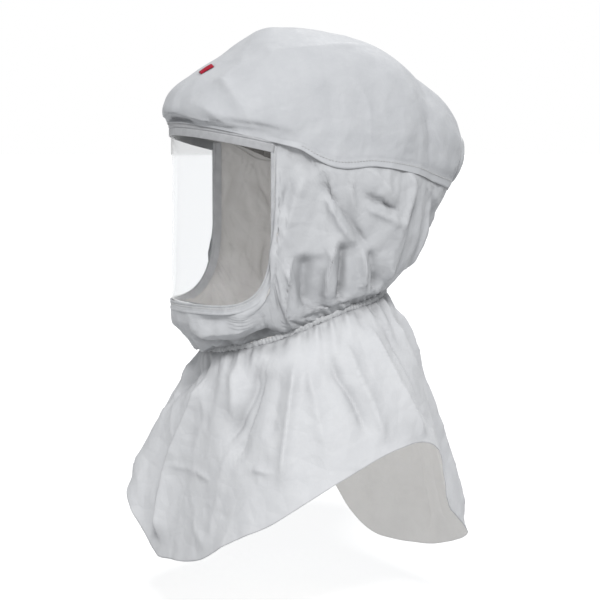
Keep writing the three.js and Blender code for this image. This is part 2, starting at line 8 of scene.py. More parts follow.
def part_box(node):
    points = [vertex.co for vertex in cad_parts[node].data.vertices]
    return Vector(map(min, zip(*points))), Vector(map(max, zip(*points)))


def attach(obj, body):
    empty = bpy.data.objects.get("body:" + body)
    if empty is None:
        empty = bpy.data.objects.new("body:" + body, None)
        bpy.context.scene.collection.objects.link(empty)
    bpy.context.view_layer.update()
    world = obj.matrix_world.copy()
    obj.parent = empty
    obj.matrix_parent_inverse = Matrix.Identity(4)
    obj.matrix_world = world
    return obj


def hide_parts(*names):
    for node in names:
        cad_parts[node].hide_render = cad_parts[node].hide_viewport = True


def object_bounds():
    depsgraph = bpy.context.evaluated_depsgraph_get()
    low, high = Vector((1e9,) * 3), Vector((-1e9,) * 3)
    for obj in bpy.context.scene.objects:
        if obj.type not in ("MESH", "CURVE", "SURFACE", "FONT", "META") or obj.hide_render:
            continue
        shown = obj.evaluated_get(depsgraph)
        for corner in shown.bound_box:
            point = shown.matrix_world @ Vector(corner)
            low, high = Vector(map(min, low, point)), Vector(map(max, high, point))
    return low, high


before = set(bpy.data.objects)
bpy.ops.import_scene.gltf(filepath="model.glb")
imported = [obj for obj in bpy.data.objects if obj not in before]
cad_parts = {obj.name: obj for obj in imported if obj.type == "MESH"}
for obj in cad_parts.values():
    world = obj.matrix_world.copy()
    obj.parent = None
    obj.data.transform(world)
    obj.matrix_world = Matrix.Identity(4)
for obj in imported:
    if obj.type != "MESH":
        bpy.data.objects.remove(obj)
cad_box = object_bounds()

# A loose-fitting hood of white non-woven cloth, with a clear wrap-round visor. Lengths are in
# millimetres until mesh_object() turns them into metres. The wearer faces -Y, +X is the wearer's left.

MM = 0.001
SKIN = "hood"  # the body that all the sewn pieces ride on

# ---------------------------------------------------------------- nets of rings

# Rings down the hood, each its +X half from the front to the back, as in part.mjs.
SEAM = 6
HOOD_HALVES = [
    [(0, -18, 95)] * 9,
    [(0, -46, 90), (16, -44, 90), (28, -36, 89), (36, -26, 88), (38, -14, 88),
     (34, 2, 89), (25, 12, 90), (13, 19, 91), (0, 22, 92)],
    [(0, -88, 63), (34, -82, 62), (58, -64, 66), (70, -40, 69), (75, -10, 71),
     (69, 24, 73), (52, 50, 76), (27, 64, 79), (0, 69, 80)],
    [(0, -119, 43), (47, -110, 41), (77, -84, 42), (91, -52, 43), (96, -10, 44),
     (91, 36, 46), (73, 74, 51), (40, 97, 57), (0, 104, 60)],
    [(0, -137, 29), (56, -124, 24), (87, -94, 20), (101, -56, 16), (105, -8, 14),
     (101, 42, 15), (84, 88, 20), (48, 121, 27), (0, 131, 32)],
    [(0, -143, 14), (58, -129, 9), (92, -97, 3), (103, -58, -4), (109, -8, -12),
     (107, 45, -14), (91, 94, -12), (54, 130, -8), (0, 145, -2)],
    [(0, -139, 1), (53, -128, -1), (88, -99, -5), (100, -60, -13), (111, -8, -40),
     (108, 42, -42), (91, 92, -50), (56, 128, -60), (0, 149, -68)],
    [(0, -136, -16), (48, -126, -17), (83, -99, -20), (97, -61, -32), (113, -6, -74),
     (110, 43, -76), (93, 90, -84), (57, 121, -92), (0, 140, -97)],
    [(0, -136, -80), (48, -126, -81), (83, -99, -84), (98, -60, -92), (115, -5, -112),
     (110, 42, -112), (94, 86, -116), (58, 115, -120), (0, 130, -123)],
    [(0, -136, -148), (48, -126, -148), (82, -99, -148), (97, -62, -148), (110, -8, -150),
     (105, 36, -145), (88, 75, -143), (54, 100, -142), (0, 113, -142)],
    [(0, -136, -196), (47, -126, -196), (79, -99, -194), (92, -64, -187), (100, -12, -178),
     (95, 30, -167), (80, 63, -161), (49, 86, -158), (0, 98, -157)],
    [(0, -129, -216), (42, -120, -216), (70, -96, -212), (85, -62, -205), (92, -12, -193),
     (89, 27, -180), (75, 58, -172), (46, 78, -168), (0, 87, -167)],
    [(0, -99, -236), (33, -92, -234), (60, -72, -227), (79, -41, -216), (86, -5, -201),
     (79, 31, -190), (60, 62, -183), (33, 82, -178), (0, 89, -176)],
]
# The bib's hem, all the way round from the front by +X.
HEM = np.array([
    (0, -142, -455), (52, -129, -447), (101, -108, -421), (138, -74, -396), (157, -14, -357),
    (150, 50, -329), (127, 99, -331), (84, 134, -396), (14, 186, -448), (-72, 168, -470),
    (-123, 123, -456), (-152, 52, -352), (-156, -20, -350), (-142, -92, -360), (-100, -160, -392),
    (-46, -150, -450),
], float)


def mirrored(half):
    """A closed ring from its +X half."""
    left = np.array(half, float)
    return np.concatenate([left, left[-2:0:-1] * (-1, 1, 1)])


HOOD = np.array([mirrored(half) for half in HOOD_HALVES])
NECK = len(HOOD) - 1
STEPS = HOOD.shape[1]  # steps round a ring
HALF_TURN = STEPS / 2


def unit(vectors):
    """Vectors scaled to a length of 1."""
    return vectors / np.linalg.norm(vectors, axis=-1, keepdims=True)


def run_along(path):
    """How far along a path each of its points lies."""
    return np.concatenate([[0], np.cumsum(np.linalg.norm(np.diff(path, axis=0), axis=1))])


def catmull(a, b, c, d, t):
    """Catmull-Rom between b and c."""
    t2, t3 = t * t, t * t * t
    return (a * (-t3 + 2 * t2 - t) + b * (3 * t3 - 5 * t2 + 2)
            + c * (-3 * t3 + 4 * t2 + t) + d * (t3 - t2)) / 2


def around(ring, a):
    """Points of a closed ring, a steps round it."""
    a = np.asarray(a, float)
    i = np.floor(a).astype(int)
    t = (a - i)[..., None]
    at = lambda k: ring[(i + k) % len(ring)]
    return catmull(at(-1), at(0), at(1), at(2), t)


def on_hood(a, s):
    """Points of the hood, a steps round its rings and s rings down it."""
    a, s = np.broadcast_arrays(np.asarray(a, float), np.asarray(s, float))
    i = np.clip(np.floor(s).astype(int), 0, NECK - 1)
    t = (s - i)[..., None]

    def ring(k):
        turned = a + np.where(k < 0, HALF_TURN, 0)
        k = np.minimum(np.abs(k), NECK)
        j = np.floor(turned).astype(int)
        f = (turned - j)[..., None]
        at = lambda d: HOOD[k, (j + d) % STEPS]
        return catmull(at(-1), at(0), at(1), at(2), f)

    return drawn_to_port(catmull(ring(i - 1), ring(i), ring(i + 1), ring(i + 2), t))


# ---------------------------------------------------------------- port and window, as in part.mjs

# "flat" is the radius where the port's flat patch ends, and "blend" where the hood's own shape begins.
PORT = {"y": 168.0, "z": -42.0, "tilt": math.radians(14), "hole": 22.6, "flat": 33.0, "blend": 76.0}
PORT_AXIS = np.array([0, math.cos(PORT["tilt"]), -math.sin(PORT["tilt"])])
PORT_UP = np.array([0, math.sin(PORT["tilt"]), math.cos(PORT["tilt"])])
PORT_CENTRE = np.array([0, PORT["y"], PORT["z"]])
VISOR = {"width": 95.0, "depth": 73.0, "axis": -62.0}
WINDOW = {"back": -62.0, "top_front": -4.0, "top_back": -24.0, "bottom": -190.0, "bend": -108.0}


def drawn_to_port(p):
    """Draws the cloth out to the flat round port at the back."""
    away = p - PORT_CENTRE
    depth = away @ PORT_AXIS
    r = np.linalg.norm(away - depth[..., None] * PORT_AXIS, axis=-1)
    share = np.clip((r - PORT["flat"]) / (PORT["blend"] - PORT["flat"]), 0, 1)
    moved = p + (depth * (share - 1))[..., None] * PORT_AXIS
    return np.where((p[..., 1] < 0)[..., None], p, moved)


def smooth(x, low=0.0, high=1.0):
    """0 below low, 1 above high, and an S curve between."""
    t = np.clip((np.asarray(x, float) - low) / (high - low), 0, 1)
    return t * t * (3 - 2 * t)


# ---------------------------------------------------------------- meshes

def grid_faces(rows, columns, loop=False, closed=False):
    """Quads of a grid whose rows run down the piece. They face down x across, which is outwards. loop
    joins the two ends of each row, and closed the last row to the first."""
    down = np.arange(rows if closed else rows - 1)
    across = np.arange(columns if loop else columns - 1)
    i, j = (k.ravel() for k in np.meshgrid(down, across, indexing="ij"))
    below, beside = (i + 1) % rows * columns, (j + 1) % columns
    return np.stack([i * columns + j, below + j, below + beside, i * columns + beside], 1)


def normals_of(points, faces):
    """Unit normals of a mesh of quads, one a vertex."""
    a, b, c, d = (points[faces[:, k]] for k in range(4))
    face = np.cross(c - a, d - b)
    total = np.zeros_like(points)
    for k in range(4):
        np.add.at(total, faces[:, k], face)
    return total / np.maximum(np.linalg.norm(total, axis=1, keepdims=True), 1e-9)


def mesh_object(name, points, faces):
    """A smooth-shaded object from points in millimetres."""
    mesh = bpy.data.meshes.new(name)
    mesh.from_pydata((np.asarray(points) * MM).tolist(), [], [list(map(int, f)) for f in faces])
    mesh.validate()
    mesh.polygons.foreach_set("use_smooth", [True] * len(mesh.polygons))
    mesh.update()
    thing = bpy.data.objects.new(name, mesh)
    bpy.context.scene.collection.objects.link(thing)
    return thing


def points_of(thing):
    """A piece's vertices in millimetres."""
    flat = np.empty(len(thing.data.vertices) * 3)
    thing.data.vertices.foreach_get("co", flat)
    return flat.reshape(-1, 3) / MM


def set_points(thing, points):
    thing.data.vertices.foreach_set("co", (points * MM).ravel())
    thing.data.update()


def apply_modifiers(thing):
    """Bakes a piece's modifiers into its mesh."""
    graph = bpy.context.evaluated_depsgraph_get()
    made = bpy.data.meshes.new_from_object(thing.evaluated_get(graph))
    thing.modifiers.clear()
    old = thing.data
    thing.data = made
    bpy.data.meshes.remove(old)


def thicken(thing, thickness, offset=-1.0, lining=None):
    """Gives a sheet its thickness, inwards of its outer face. A lined sheet's inner face takes the
    piece's second material."""
    if lining:
        thing.data.materials.append(WHITE_CLOTH)
        thing.data.materials.append(lining)
    solid = thing.modifiers.new("thickness", "SOLIDIFY")
    solid.material_offset = 1 if lining else 0
    solid.thickness = thickness * MM
    solid.offset = offset
    solid.use_even_offset = False
    apply_modifiers(thing)


# Thin non-woven cloth: soft to bend, heavily damped, and with little weight.
CLOTH_SETTINGS = {
    "quality": 6, "mass": 0.06, "air_damping": 3.0, "tension_stiffness": 18.0,
    "compression_stiffness": 18.0, "shear_stiffness": 10.8, "bending_stiffness": 0.05,
    "tension_damping": 8.0, "compression_damping": 8.0, "shear_damping": 8.0, "pin_stiffness": 2.0,
}
CLOTH_FRAMES = 22
CLOTH_GRAVITY = 0.4  # a share of the scene's


def relax(thing, held, growth, cap):
    """Lets a sheet, cut a little too big for its place, buckle into it: Blender's cloth, pinned by the
    held weights, one a vertex. No point ends more than cap from where it began."""
    before = points_of(thing)
    group = thing.vertex_groups.new(name="held")
    for k, weight in enumerate(held):
        if weight > 0.01:
            group.add([k], float(weight), "REPLACE")
    cloth = thing.modifiers.new("cloth", "CLOTH")
    for key, value in CLOTH_SETTINGS.items():
        setattr(cloth.settings, key, value)
    cloth.settings.shrink_min = -growth
    cloth.settings.vertex_group_mass = "held"
    cloth.settings.effector_weights.gravity = CLOTH_GRAVITY
    cloth.collision_settings.use_collision = False
    cloth.point_cache.frame_end = CLOTH_FRAMES
    for f in range(1, CLOTH_FRAMES + 1):
        bpy.context.scene.frame_set(f)
    apply_modifiers(thing)
    bpy.context.scene.frame_set(1)
    thing.vertex_groups.clear()
    moved = points_of(thing) - before
    length = np.linalg.norm(moved, axis=1, keepdims=True)
    limited = np.where(length > 1e-6, cap * np.tanh(length / cap) / np.maximum(length, 1e-6), 1.0)
    set_points(thing, before + moved * limited)


def finish_piece(thing, material, body=SKIN, stands_for=()):
    """Gives a piece its material and body, and hides the CAD nodes that it stands for."""
    if len(thing.data.materials) == 2:
        thing.data.materials[0] = material
    else:
        thing.data.materials.append(material)
    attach(thing, body)
    if stands_for:
        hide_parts(*stands_for)
    return thing


def swept(path, sides, up, closed=False):
    """Points and quads of a section swept along a path. sides is a list of (across, out) offsets, or
    a function of the station that gives one, and up is the out direction at each point of the path."""
    path = np.asarray(path, float)
    n = len(path)
    after = np.roll(path, -1, 0) if closed else np.vstack([path[1:], path[-1:]])
    before = np.roll(path, 1, 0) if closed else np.vstack([path[:1], path[:-1]])
    along = unit(after - before)
    across = unit(np.cross(along, up))
    out = np.cross(across, along)
    rows = []
    for k in range(n):
        section = np.array(sides(k) if callable(sides) else sides, float)
        rows.append(path[k] + section[:, :1] * across[k] + section[:, 1:] * out[k])
    points = np.concatenate(rows)
    m = len(rows[0])
    faces = [tuple(quad) for quad in grid_faces(n, m, True, closed)[:, [0, 3, 2, 1]]]
    if not closed:
        faces.append(tuple(range(m))[::-1])
        faces.append(tuple((n - 1) * m + j for j in range(m)))
    return points, faces


def lathe(profile, centre, axis, up, sides=96, ripple=None):
    """Points and quads of a closed (radius, height) outline turned about an axis. ripple gives what
    each radius gains from its angle and its place in the outline."""
    axis = np.asarray(axis, float)
    up = np.asarray(up, float)
    side = np.cross(up, axis)
    rows = []
    for k in range(sides):
        turn = 2 * math.pi * k / sides
        radial = math.cos(turn) * up + math.sin(turn) * side
        gain = [ripple(turn, i) if ripple else 0.0 for i in range(len(profile))]
        rows.append([centre + (r + g) * radial + h * axis for (r, h), g in zip(profile, gain)])
    return np.array(rows).reshape(-1, 3), grid_faces(sides, len(profile), True, True)


def rounded(corners, radius, steps=3):
    """A closed outline with its corners rounded."""
    n = len(corners)
    made = []
    for k in range(n):
        p, q, r = (np.array(corners[(k + d) % n], float) for d in (-1, 0, 1))
        reach = min(radius, np.linalg.norm(p - q) * 0.45, np.linalg.norm(r - q) * 0.45)
        a = q + (p - q) / np.linalg.norm(p - q) * reach
        b = q + (r - q) / np.linalg.norm(r - q) * reach
        for t in np.linspace(0, 1, steps + 1):
            made.append(tuple((1 - t) ** 2 * a + 2 * t * (1 - t) * q + t * t * b))
    return made


# ---------------------------------------------------------------- folds in the cloth

def soft_path(points, step=2.0):
    """A smooth path through given points, and how far along it each of its points lies."""
    p = np.array(points, float)
    p = np.vstack([2 * p[0] - p[1], p, 2 * p[-1] - p[-2]])
    made = []
    for i in range(1, len(p) - 2):
        count = max(2, int(np.linalg.norm(p[i + 1] - p[i]) / step))
        for t in np.arange(count) / count:
            made.append(catmull(p[i - 1], p[i], p[i + 1], p[i + 2], t))
    made.append(p[-2])
    made = np.array(made)
    return made, run_along(made)


LEAN_EFFECT = 0.75  # how much of its flank a fold loses on one side at a lean of 1
CREST = 0.16  # how rounded a fold's crest is, as a share of its flank
FALL = 0.55  # the share of its flank over which a fold falls to about a third
LONGEST_FADE = 26.0


def fold_heights(points, normals, folds, relief=1.0):
    """How far each vertex moves along its normal for a list of folds. A fold is (height, width,
    lean, path): a negative height is a valley, and lean narrows its flank on the side that lies to
    the right of the path as seen from outside, so a strong lean reads as a lapped crease. A fifth
    value is how short its first end is; without it, both ends fade out slowly."""
    total = np.zeros(len(points))
    for height, width, lean, places, *first_end in folds:
        path, run = soft_path(places)
        reach = width * 4
        near = np.all((points > path.min(0) - reach) & (points < path.max(0) + reach), axis=1)
        ids = np.nonzero(near)[0]
        if not len(ids):
            continue
        p = points[ids]
        gaps = ((p[:, None, :] - path[None]) ** 2).sum(2)
        k = gaps.argmin(1)
        along = unit(np.gradient(path, axis=0))
        away = p - path[k]
        away -= (away * along[k]).sum(1, keepdims=True) * along[k]
        d = np.sqrt(gaps[np.arange(len(ids)), k])
        side = np.sign((np.cross(along[k], normals[ids]) * away).sum(1))
        right, left = 1 - LEAN_EFFECT * max(lean, 0), 1 + LEAN_EFFECT * min(lean, 0)
        flank = width * np.where(side > 0, right, left)
        crest = CREST * flank
        shape = np.exp(-(np.sqrt(d * d + crest * crest) - crest) / (FALL * flank))
        length = run[-1]
        end = min(LONGEST_FADE, length * 0.4)
        taper = smooth(length - run[k], -1, end)
        if first_end:
            lip = (p - path[0]) @ along[0]
            taper = taper * smooth(lip, -first_end[0], first_end[0]) * (0.62 + 0.38 * run[k] / length)
        else:
            taper = taper * smooth(run[k], -1, end)
        total[ids] += height * shape * taper * np.exp(-(d / (2.2 * width)) ** 4)
    return total * relief


def on_other_side(folds, shift, scale):
    """The same folds on the -X side, moved and weakened, so that the two sides don't match."""
    made = []
    for k, (height, width, lean, path, *first_end) in enumerate(folds):
        sway = math.sin(2.4 * k + 0.7)
        moved = [(-x, y + shift * sway, z + 0.7 * shift * math.cos(1.7 * k)) for x, y, z in path]
        made.append((height * (scale + 0.25 * sway), width, -lean, moved, *first_end))
    return made


def crumple(points, size, height, stretch=(1, 1, 1), seed=0.0):
    """Small creases: ridged noise with cells of a size, in millimetres."""
    made = np.empty(len(points))
    offset = Vector((13.1 + seed, 7.7 - seed, 3.3 + 2 * seed))  # each seed's own part of the noise
    for i, p in enumerate(points / size * stretch):
        v = Vector(p) + offset
        n = noise.noise(v) + 0.5 * noise.noise(v * 2.1)
        made[i] = 1 - abs(n) * 2
    made -= made.mean()
    return height * made


# ---------------------------------------------------------------- materials

class Shader:
    """A Principled material and the nodes that feed it."""

    def __init__(self, name, colour, roughness, **values):
        self.material = bpy.data.materials.new(name)
        self.material.use_nodes = True
        self.nodes = self.material.node_tree.nodes
        self.links = self.material.node_tree.links
        self.main = self.nodes["Principled BSDF"]
        self.main.inputs["Base Color"].default_value = (*colour, 1)
        self.main.inputs["Roughness"].default_value = roughness
        self.set_inputs(self.main, values)
        self.place = self.node("TexCoord").outputs["Object"]
        self.bumped = None

    def set_inputs(self, node, values):
        """Sets a node's inputs by their names, written with _ for a space."""
        for key, value in values.items():
            node.inputs[key.replace("_", " ")].default_value = value

    def node(self, kind, vector=None, **values):
        """A new node with some of its inputs set, and its Vector input linked."""
        made = self.nodes.new("ShaderNode" + kind)
        self.set_inputs(made, values)
        if vector:
            self.links.new(vector, made.inputs["Vector"])
        return made

    def grain(self, scale, detail=4.0, roughness=0.55, stretch=None, distortion=0.0):
        place = self.place
        if stretch:
            place = self.node("Mapping", place, Scale=stretch).outputs["Vector"]
        return self.node("TexNoise", place, Scale=scale, Detail=detail, Roughness=roughness,
                         Distortion=distortion).outputs["Fac"]

    def cells(self, scale):
        made = self.node("TexVoronoi", self.place, Scale=scale)
        made.feature = "DISTANCE_TO_EDGE"
        return made.outputs["Distance"]

    def threads(self, scale, direction):
        made = self.node("TexWave", self.place, Scale=scale, Distortion=0.6, Detail=1.0)
        made.bands_direction = direction
        return made.outputs["Fac"]

    def range(self, source, low, high, new_low, new_high):
        made = self.node("MapRange", From_Min=low, From_Max=high, To_Min=new_low, To_Max=new_high)
        self.links.new(source, made.inputs["Value"])
        return made.outputs["Result"]

    def colour(self, source, *stops):
        ramp = self.node("ValToRGB")
        while len(ramp.color_ramp.elements) < len(stops):
            ramp.color_ramp.elements.new(0.5)
        for element, (place, shade) in zip(ramp.color_ramp.elements, stops):
            element.position = place
            element.color = (*shade, 1)
        self.links.new(source, ramp.inputs["Fac"])
        self.links.new(ramp.outputs["Color"], self.main.inputs["Base Color"])
        return self

    def roughness(self, source, low, high):
        made = self.range(source, 0.3, 0.7, low, high)
        self.links.new(made, self.main.inputs["Roughness"])
        return self

    def paint_crease_shade(self, reach, darkest_painted_shade):
        """Painted shade: an ambient occlusion node darkens the cloth's colour in its creases and folds,
        where shade falls.
        """
        crease_occlusion = self.node("AmbientOcclusion", Distance=reach * MM)
        crease_occlusion.samples = 6
        painted_shade_tint = self.node("HueSaturation")
        self.links.new(self.main.inputs["Base Color"].links[0].from_socket, painted_shade_tint.inputs["Color"])
        self.links.new(self.range(crease_occlusion.outputs["AO"], 0.5, 0.94, darkest_painted_shade, 1.0), painted_shade_tint.inputs["Value"])
        self.links.new(painted_shade_tint.outputs["Color"], self.main.inputs["Base Color"])
        return self

    def bump(self, source, depth, strength=1.0):
        """Adds relief, with its depth in millimetres."""
        made = self.node("Bump", Strength=strength, Distance=depth * MM)
        self.links.new(source, made.inputs["Height"])
        if self.bumped:
            self.links.new(self.bumped, made.inputs["Normal"])
        self.bumped = made.outputs["Normal"]
        self.links.new(self.bumped, self.main.inputs["Normal"])
        return self


def cloth_material(name, light, dark, crease_depth, through=0.0, darkest_painted_shade=0.55, crumpled=1.5):
    """Spun-bonded cloth: matted fibres, a faint mottle and small soft creases, with painted shade in
    its creases. through is the strength of a painted glow: an emission that stands in for daylight
    coming through the thin cloth from its other side."""
    made = Shader(name, light, 0.62, Sheen_Weight=0.12, Sheen_Roughness=0.5, Specular_IOR_Level=0.35)
    mottle = made.grain(38, 5, 0.6)
    made.colour(mottle, (0.34, dark), (0.66, light))
    made.roughness(made.grain(210, 3), 0.52, 0.7)
    made.bump(made.grain(64, 4, 0.5, distortion=0.9), crease_depth)
    made.bump(made.cells(44), crumpled)
    made.bump(made.grain(2300, 3, 0.7, stretch=(1.0, 1.0, 0.45)), 0.09, 0.55)
    # Painted shade: the creases are darkened in the colour itself.
    made.paint_crease_shade(34, darkest_painted_shade)
    # Painted glow: emission on the cloth, standing in for daylight coming through it.
    made.set_inputs(made.main, {"Emission Color": (1.0, 0.985, 0.965, 1), "Emission Strength": through})
    return made.material


WHITE_CLOTH = cloth_material("white_spunbond", (0.735, 0.745, 0.765), (0.69, 0.70, 0.722), 0.75)
# Painted shade: the crown takes a darker copy of the same white cloth.
CROWN_CLOTH_SHADED = cloth_material("white_crown", (0.70, 0.712, 0.735), (0.655, 0.668, 0.693), 0.42,
                             crumpled=0.9)
# Painted shade and glow: the inner faces take darker, warmer copies of the white cloth, with an
# emission that stands in for daylight through the cloth.
INSIDE_CLOTH_SHADED = cloth_material("cloth_inside", (0.70, 0.685, 0.67), (0.63, 0.612, 0.598), 0.6,
                             through=0.12, darkest_painted_shade=0.8)
BIB_INSIDE_SHADED = cloth_material("bib_inside", (0.72, 0.712, 0.70), (0.67, 0.662, 0.65), 0.55,
                            through=0.20, darkest_painted_shade=0.85)
# Painted light: the bib takes a lighter copy of the same white cloth.
BIB_CLOTH_LIT = cloth_material("white_bib", (0.80, 0.808, 0.826), (0.76, 0.768, 0.788), 0.55)


def woven_material(name, colour, roughness, mottle, dark, light, relief, **values):
    """Tape, thread and the like. mottle is the scale and detail of its patches, which run from the
    dark stop to the light one. relief lists (scale, detail, depth, strength), where a detail that is
    a direction stands for rows of threads, and a number for plain grain."""
    made = Shader(name, colour, roughness, **values)
    made.colour(made.grain(*mottle), dark, light)
    for scale, detail, depth, strength in relief:
        source = made.threads(scale, detail) if isinstance(detail, str) else made.grain(scale, detail)
        made.bump(source, depth, strength)
    return made.material


def lens_material():
    """Clear film that takes a little off the light and bends it hardly at all."""
    made = Shader("clear_visor", (0.86, 0.865, 0.87), 0.03, Transmission_Weight=1.0, IOR=1.12)
    made.roughness(made.grain(60, 3), 0.015, 0.06)
    made.bump(made.grain(9, 2), 0.02, 0.4)
    return made.material


def plastic_material(name, colour, roughness, grain=850, depth=0.05, wear=1.25):
    """Moulded plastic: fine texture, and slightly paler where it is handled."""
    made = Shader(name, colour, roughness, Specular_IOR_Level=0.45)
    worn = tuple(min(1.0, c * wear + 0.01) for c in colour)
    made.colour(made.grain(46, 5, 0.65), (0.42, colour), (0.78, worn))
    made.roughness(made.grain(130, 4), roughness * 0.85, roughness * 1.15)
    made.bump(made.grain(grain, 2), depth)
    made.bump(made.grain(24, 2), 0.12, 0.5)
    return made.material


def foam_material(name, colour):
    """Open-celled foam."""
    made = Shader(name, colour, 0.95, Sheen_Weight=0.3)
    darker, lighter = tuple(0.7 * c for c in colour), tuple(1.25 * c for c in colour)
    made.colour(made.grain(300, 4), (0.3, darker), (0.7, lighter))
    made.bump(made.cells(950), 0.5)
    made.bump(made.grain(1800, 3), 0.15)
    return made.material


def steel_material():
    made = Shader("bright_steel", (0.55, 0.56, 0.58), 0.32, Metallic=1.0)
    made.colour(made.grain(300, 3), (0.35, (0.48, 0.49, 0.51)), (0.65, (0.60, 0.61, 0.63)))
    made.roughness(made.grain(700, 3, stretch=(1, 1, 6)), 0.25, 0.42)
    made.bump(made.grain(1500, 2), 0.02)
    return made.material


TAPE = woven_material(
    "grey_woven_tape", (0.54, 0.545, 0.56), 0.6, (160, 3), (0.35, (0.51, 0.515, 0.53)),
    (0.65, (0.58, 0.585, 0.60)), [(420, "Z", 0.10, 0.6), (420, "DIAGONAL", 0.08, 0.5)],
    Sheen_Weight=0.2)
EDGE_TAPE = woven_material(
    "pale_edge_tape", (0.66, 0.67, 0.69), 0.55, (120, 3), (0.35, (0.60, 0.61, 0.63)),
    (0.65, (0.70, 0.71, 0.73)), [(380, "DIAGONAL", 0.08, 0.6), (900, 2, 0.05, 1.0)], Sheen_Weight=0.15)
ELASTIC = woven_material(
    "covered_elastic", (0.68, 0.69, 0.70), 0.7, (240, 3), (0.35, (0.58, 0.587, 0.60)),
    (0.65, (0.73, 0.737, 0.75)), [(520, 3, 0.25, 1.0), (900, "Z", 0.08, 1.0)], Sheen_Weight=0.2)
TAB = woven_material(
    "red_woven_tab", (0.52, 0.012, 0.04), 0.7, (900, 3), (0.3, (0.44, 0.008, 0.03)),
    (0.7, (0.60, 0.018, 0.055)), [(1100, "X", 0.10, 0.8), (1100, "DIAGONAL", 0.06, 0.6)],
    Specular_IOR_Level=0.2)
THREAD = woven_material(
    "white_thread", (0.80, 0.80, 0.79), 0.6, (1500, 2), (0.3, (0.70, 0.70, 0.69)),
    (0.7, (0.86, 0.86, 0.85)), [(2600, "DIAGONAL", 0.06, 1.0)], Sheen_Weight=0.3)
LENS = lens_material()
SHELL = plastic_material("pale_shell_plastic", (0.52, 0.53, 0.545), 0.42)
DARK = plastic_material("dark_nylon", (0.040, 0.043, 0.050), 0.46, wear=1.7)
BLUE = plastic_material("blue_plastic", (0.035, 0.145, 0.36), 0.40, wear=1.3)
SEAL = plastic_material("black_rubber", (0.014, 0.014, 0.015), 0.75, grain=1400, depth=0.04, wear=1.8)
FOAM = foam_material("dark_foam", (0.022, 0.023, 0.026))
SWEATBAND = foam_material("pale_foam", (0.29, 0.28, 0.27))
WARM_GREY = plastic_material("warm_grey_nylon", (0.27, 0.26, 0.25), 0.5)
STEEL = steel_material()

# ---------------------------------------------------------------- camera, light and floor

AZIMUTH, ELEVATION = math.radians(70), math.radians(4.5)
TARGET = Vector((0, 0, -0.189))
DISTANCE = 2.3
SEEN_WIDTH = 0.63  # metres of the object's plane across the frame
SENSOR = 36.0


def towards(azimuth, elevation):
    """The direction from the object to a viewer: azimuth 0 is in front of it."""
    flat = math.cos(elevation)
    return Vector((math.sin(azimuth) * flat, -math.cos(azimuth) * flat, math.sin(elevation)))


def place_on_stage(name, data, azimuth, elevation, distance):
    """A camera or a light at a distance from the hood's middle, looking at it."""
    thing = bpy.data.objects.new(name, data)
    thing.location = TARGET + towards(azimuth, elevation) * distance
    thing.rotation_euler = (TARGET - thing.location).to_track_quat("-Z", "Y").to_euler()
    bpy.context.scene.collection.objects.link(thing)
    return thing


def add_camera():
    data = bpy.data.cameras.new("camera")
    data.sensor_width = SENSOR
    data.lens = SENSOR * DISTANCE / SEEN_WIDTH
    data.clip_end = 100
    bpy.context.scene.camera = place_on_stage("camera", data, AZIMUTH, ELEVATION, DISTANCE)


def add_sun(name, azimuth, elevation, strength, spread):
    """One large soft light, far enough away to light the floor evenly too. Its angles and its spread
    are in degrees."""
    data = bpy.data.lights.new(name, "SUN")
    data.energy = strength
    data.angle = math.radians(spread)
    place_on_stage(name, data, math.radians(azimuth), math.radians(elevation), 3)


FLOOR_GAP = 0.06  # the hood hangs this far above the floor
FLOOR_RINGS = (0.5, 1.2, 3.0, 9.0, 40.0)
FLOOR_SIDES = 64
FLOOR_GLOW = 0.37  # the floor is lit from below, as a studio's light table is


def add_floor():
    """A white floor, wide enough that its edge is never in the frame."""
    level = cad_box[0][2] - FLOOR_GAP
    turns = [2 * math.pi * k / FLOOR_SIDES for k in range(FLOOR_SIDES)]
    points = [(r * math.cos(turn) / MM, r * math.sin(turn) / MM, level / MM)
              for r in FLOOR_RINGS for turn in turns]
    points.append((0, 0, level / MM))
    faces = [*grid_faces(len(FLOOR_RINGS), FLOOR_SIDES, loop=True)]
    faces += [(k, (k + 1) % FLOOR_SIDES, len(points) - 1) for k in range(FLOOR_SIDES)]
    floor = mesh_object("floor", points, faces)
    pale = Shader("pale_floor", (0.93, 0.93, 0.93), 0.9, Emission_Color=(1, 1, 1, 1),
                  Emission_Strength=FLOOR_GLOW)
    pale.bump(pale.grain(30, 2), 0.02)
    floor.data.materials.append(pale.material)
    floor.visible_diffuse = False  # it throws no light back up at the hood


AMBIENT = 0.40  # the studio's walls light the hood less than their white looks


def add_world():
    """White walls all round. They are seen as full white, straight or through the visor."""
    world = bpy.data.worlds.new("studio")
    world.use_nodes = True
    nodes, links = world.node_tree.nodes, world.node_tree.links
    seen = nodes["Background"]
    seen.inputs["Strength"].default_value = 1.0
    seen.inputs["Color"].default_value = (1, 1, 1, 1)
    lit = nodes.new("ShaderNodeBackground")
    lit.inputs["Color"].default_value = (0.97, 0.985, 1.0, 1)
    lit.inputs["Strength"].default_value = AMBIENT
    path = nodes.new("ShaderNodeLightPath")
    either = nodes.new("ShaderNodeMath")
    either.operation = "MAXIMUM"
    links.new(path.outputs["Is Camera Ray"], either.inputs[0])
    links.new(path.outputs["Is Transmission Ray"], either.inputs[1])
    mix = nodes.new("ShaderNodeMixShader")
    links.new(either.outputs["Value"], mix.inputs["Fac"])
    links.new(lit.outputs["Background"], mix.inputs[1])
    links.new(seen.outputs["Background"], mix.inputs[2])
    links.new(mix.outputs["Shader"], nodes["World Output"].inputs["Surface"])
    bpy.context.scene.world = world
    bpy.context.scene.view_settings.view_transform = "Standard"


add_camera()
add_world()
add_floor()
add_sun("key", azimuth=72, elevation=37, strength=1.8, spread=13)
add_sun("fill", azimuth=232, elevation=42, strength=1.0, spread=25)

# ---------------------------------------------------------------- the window's outline

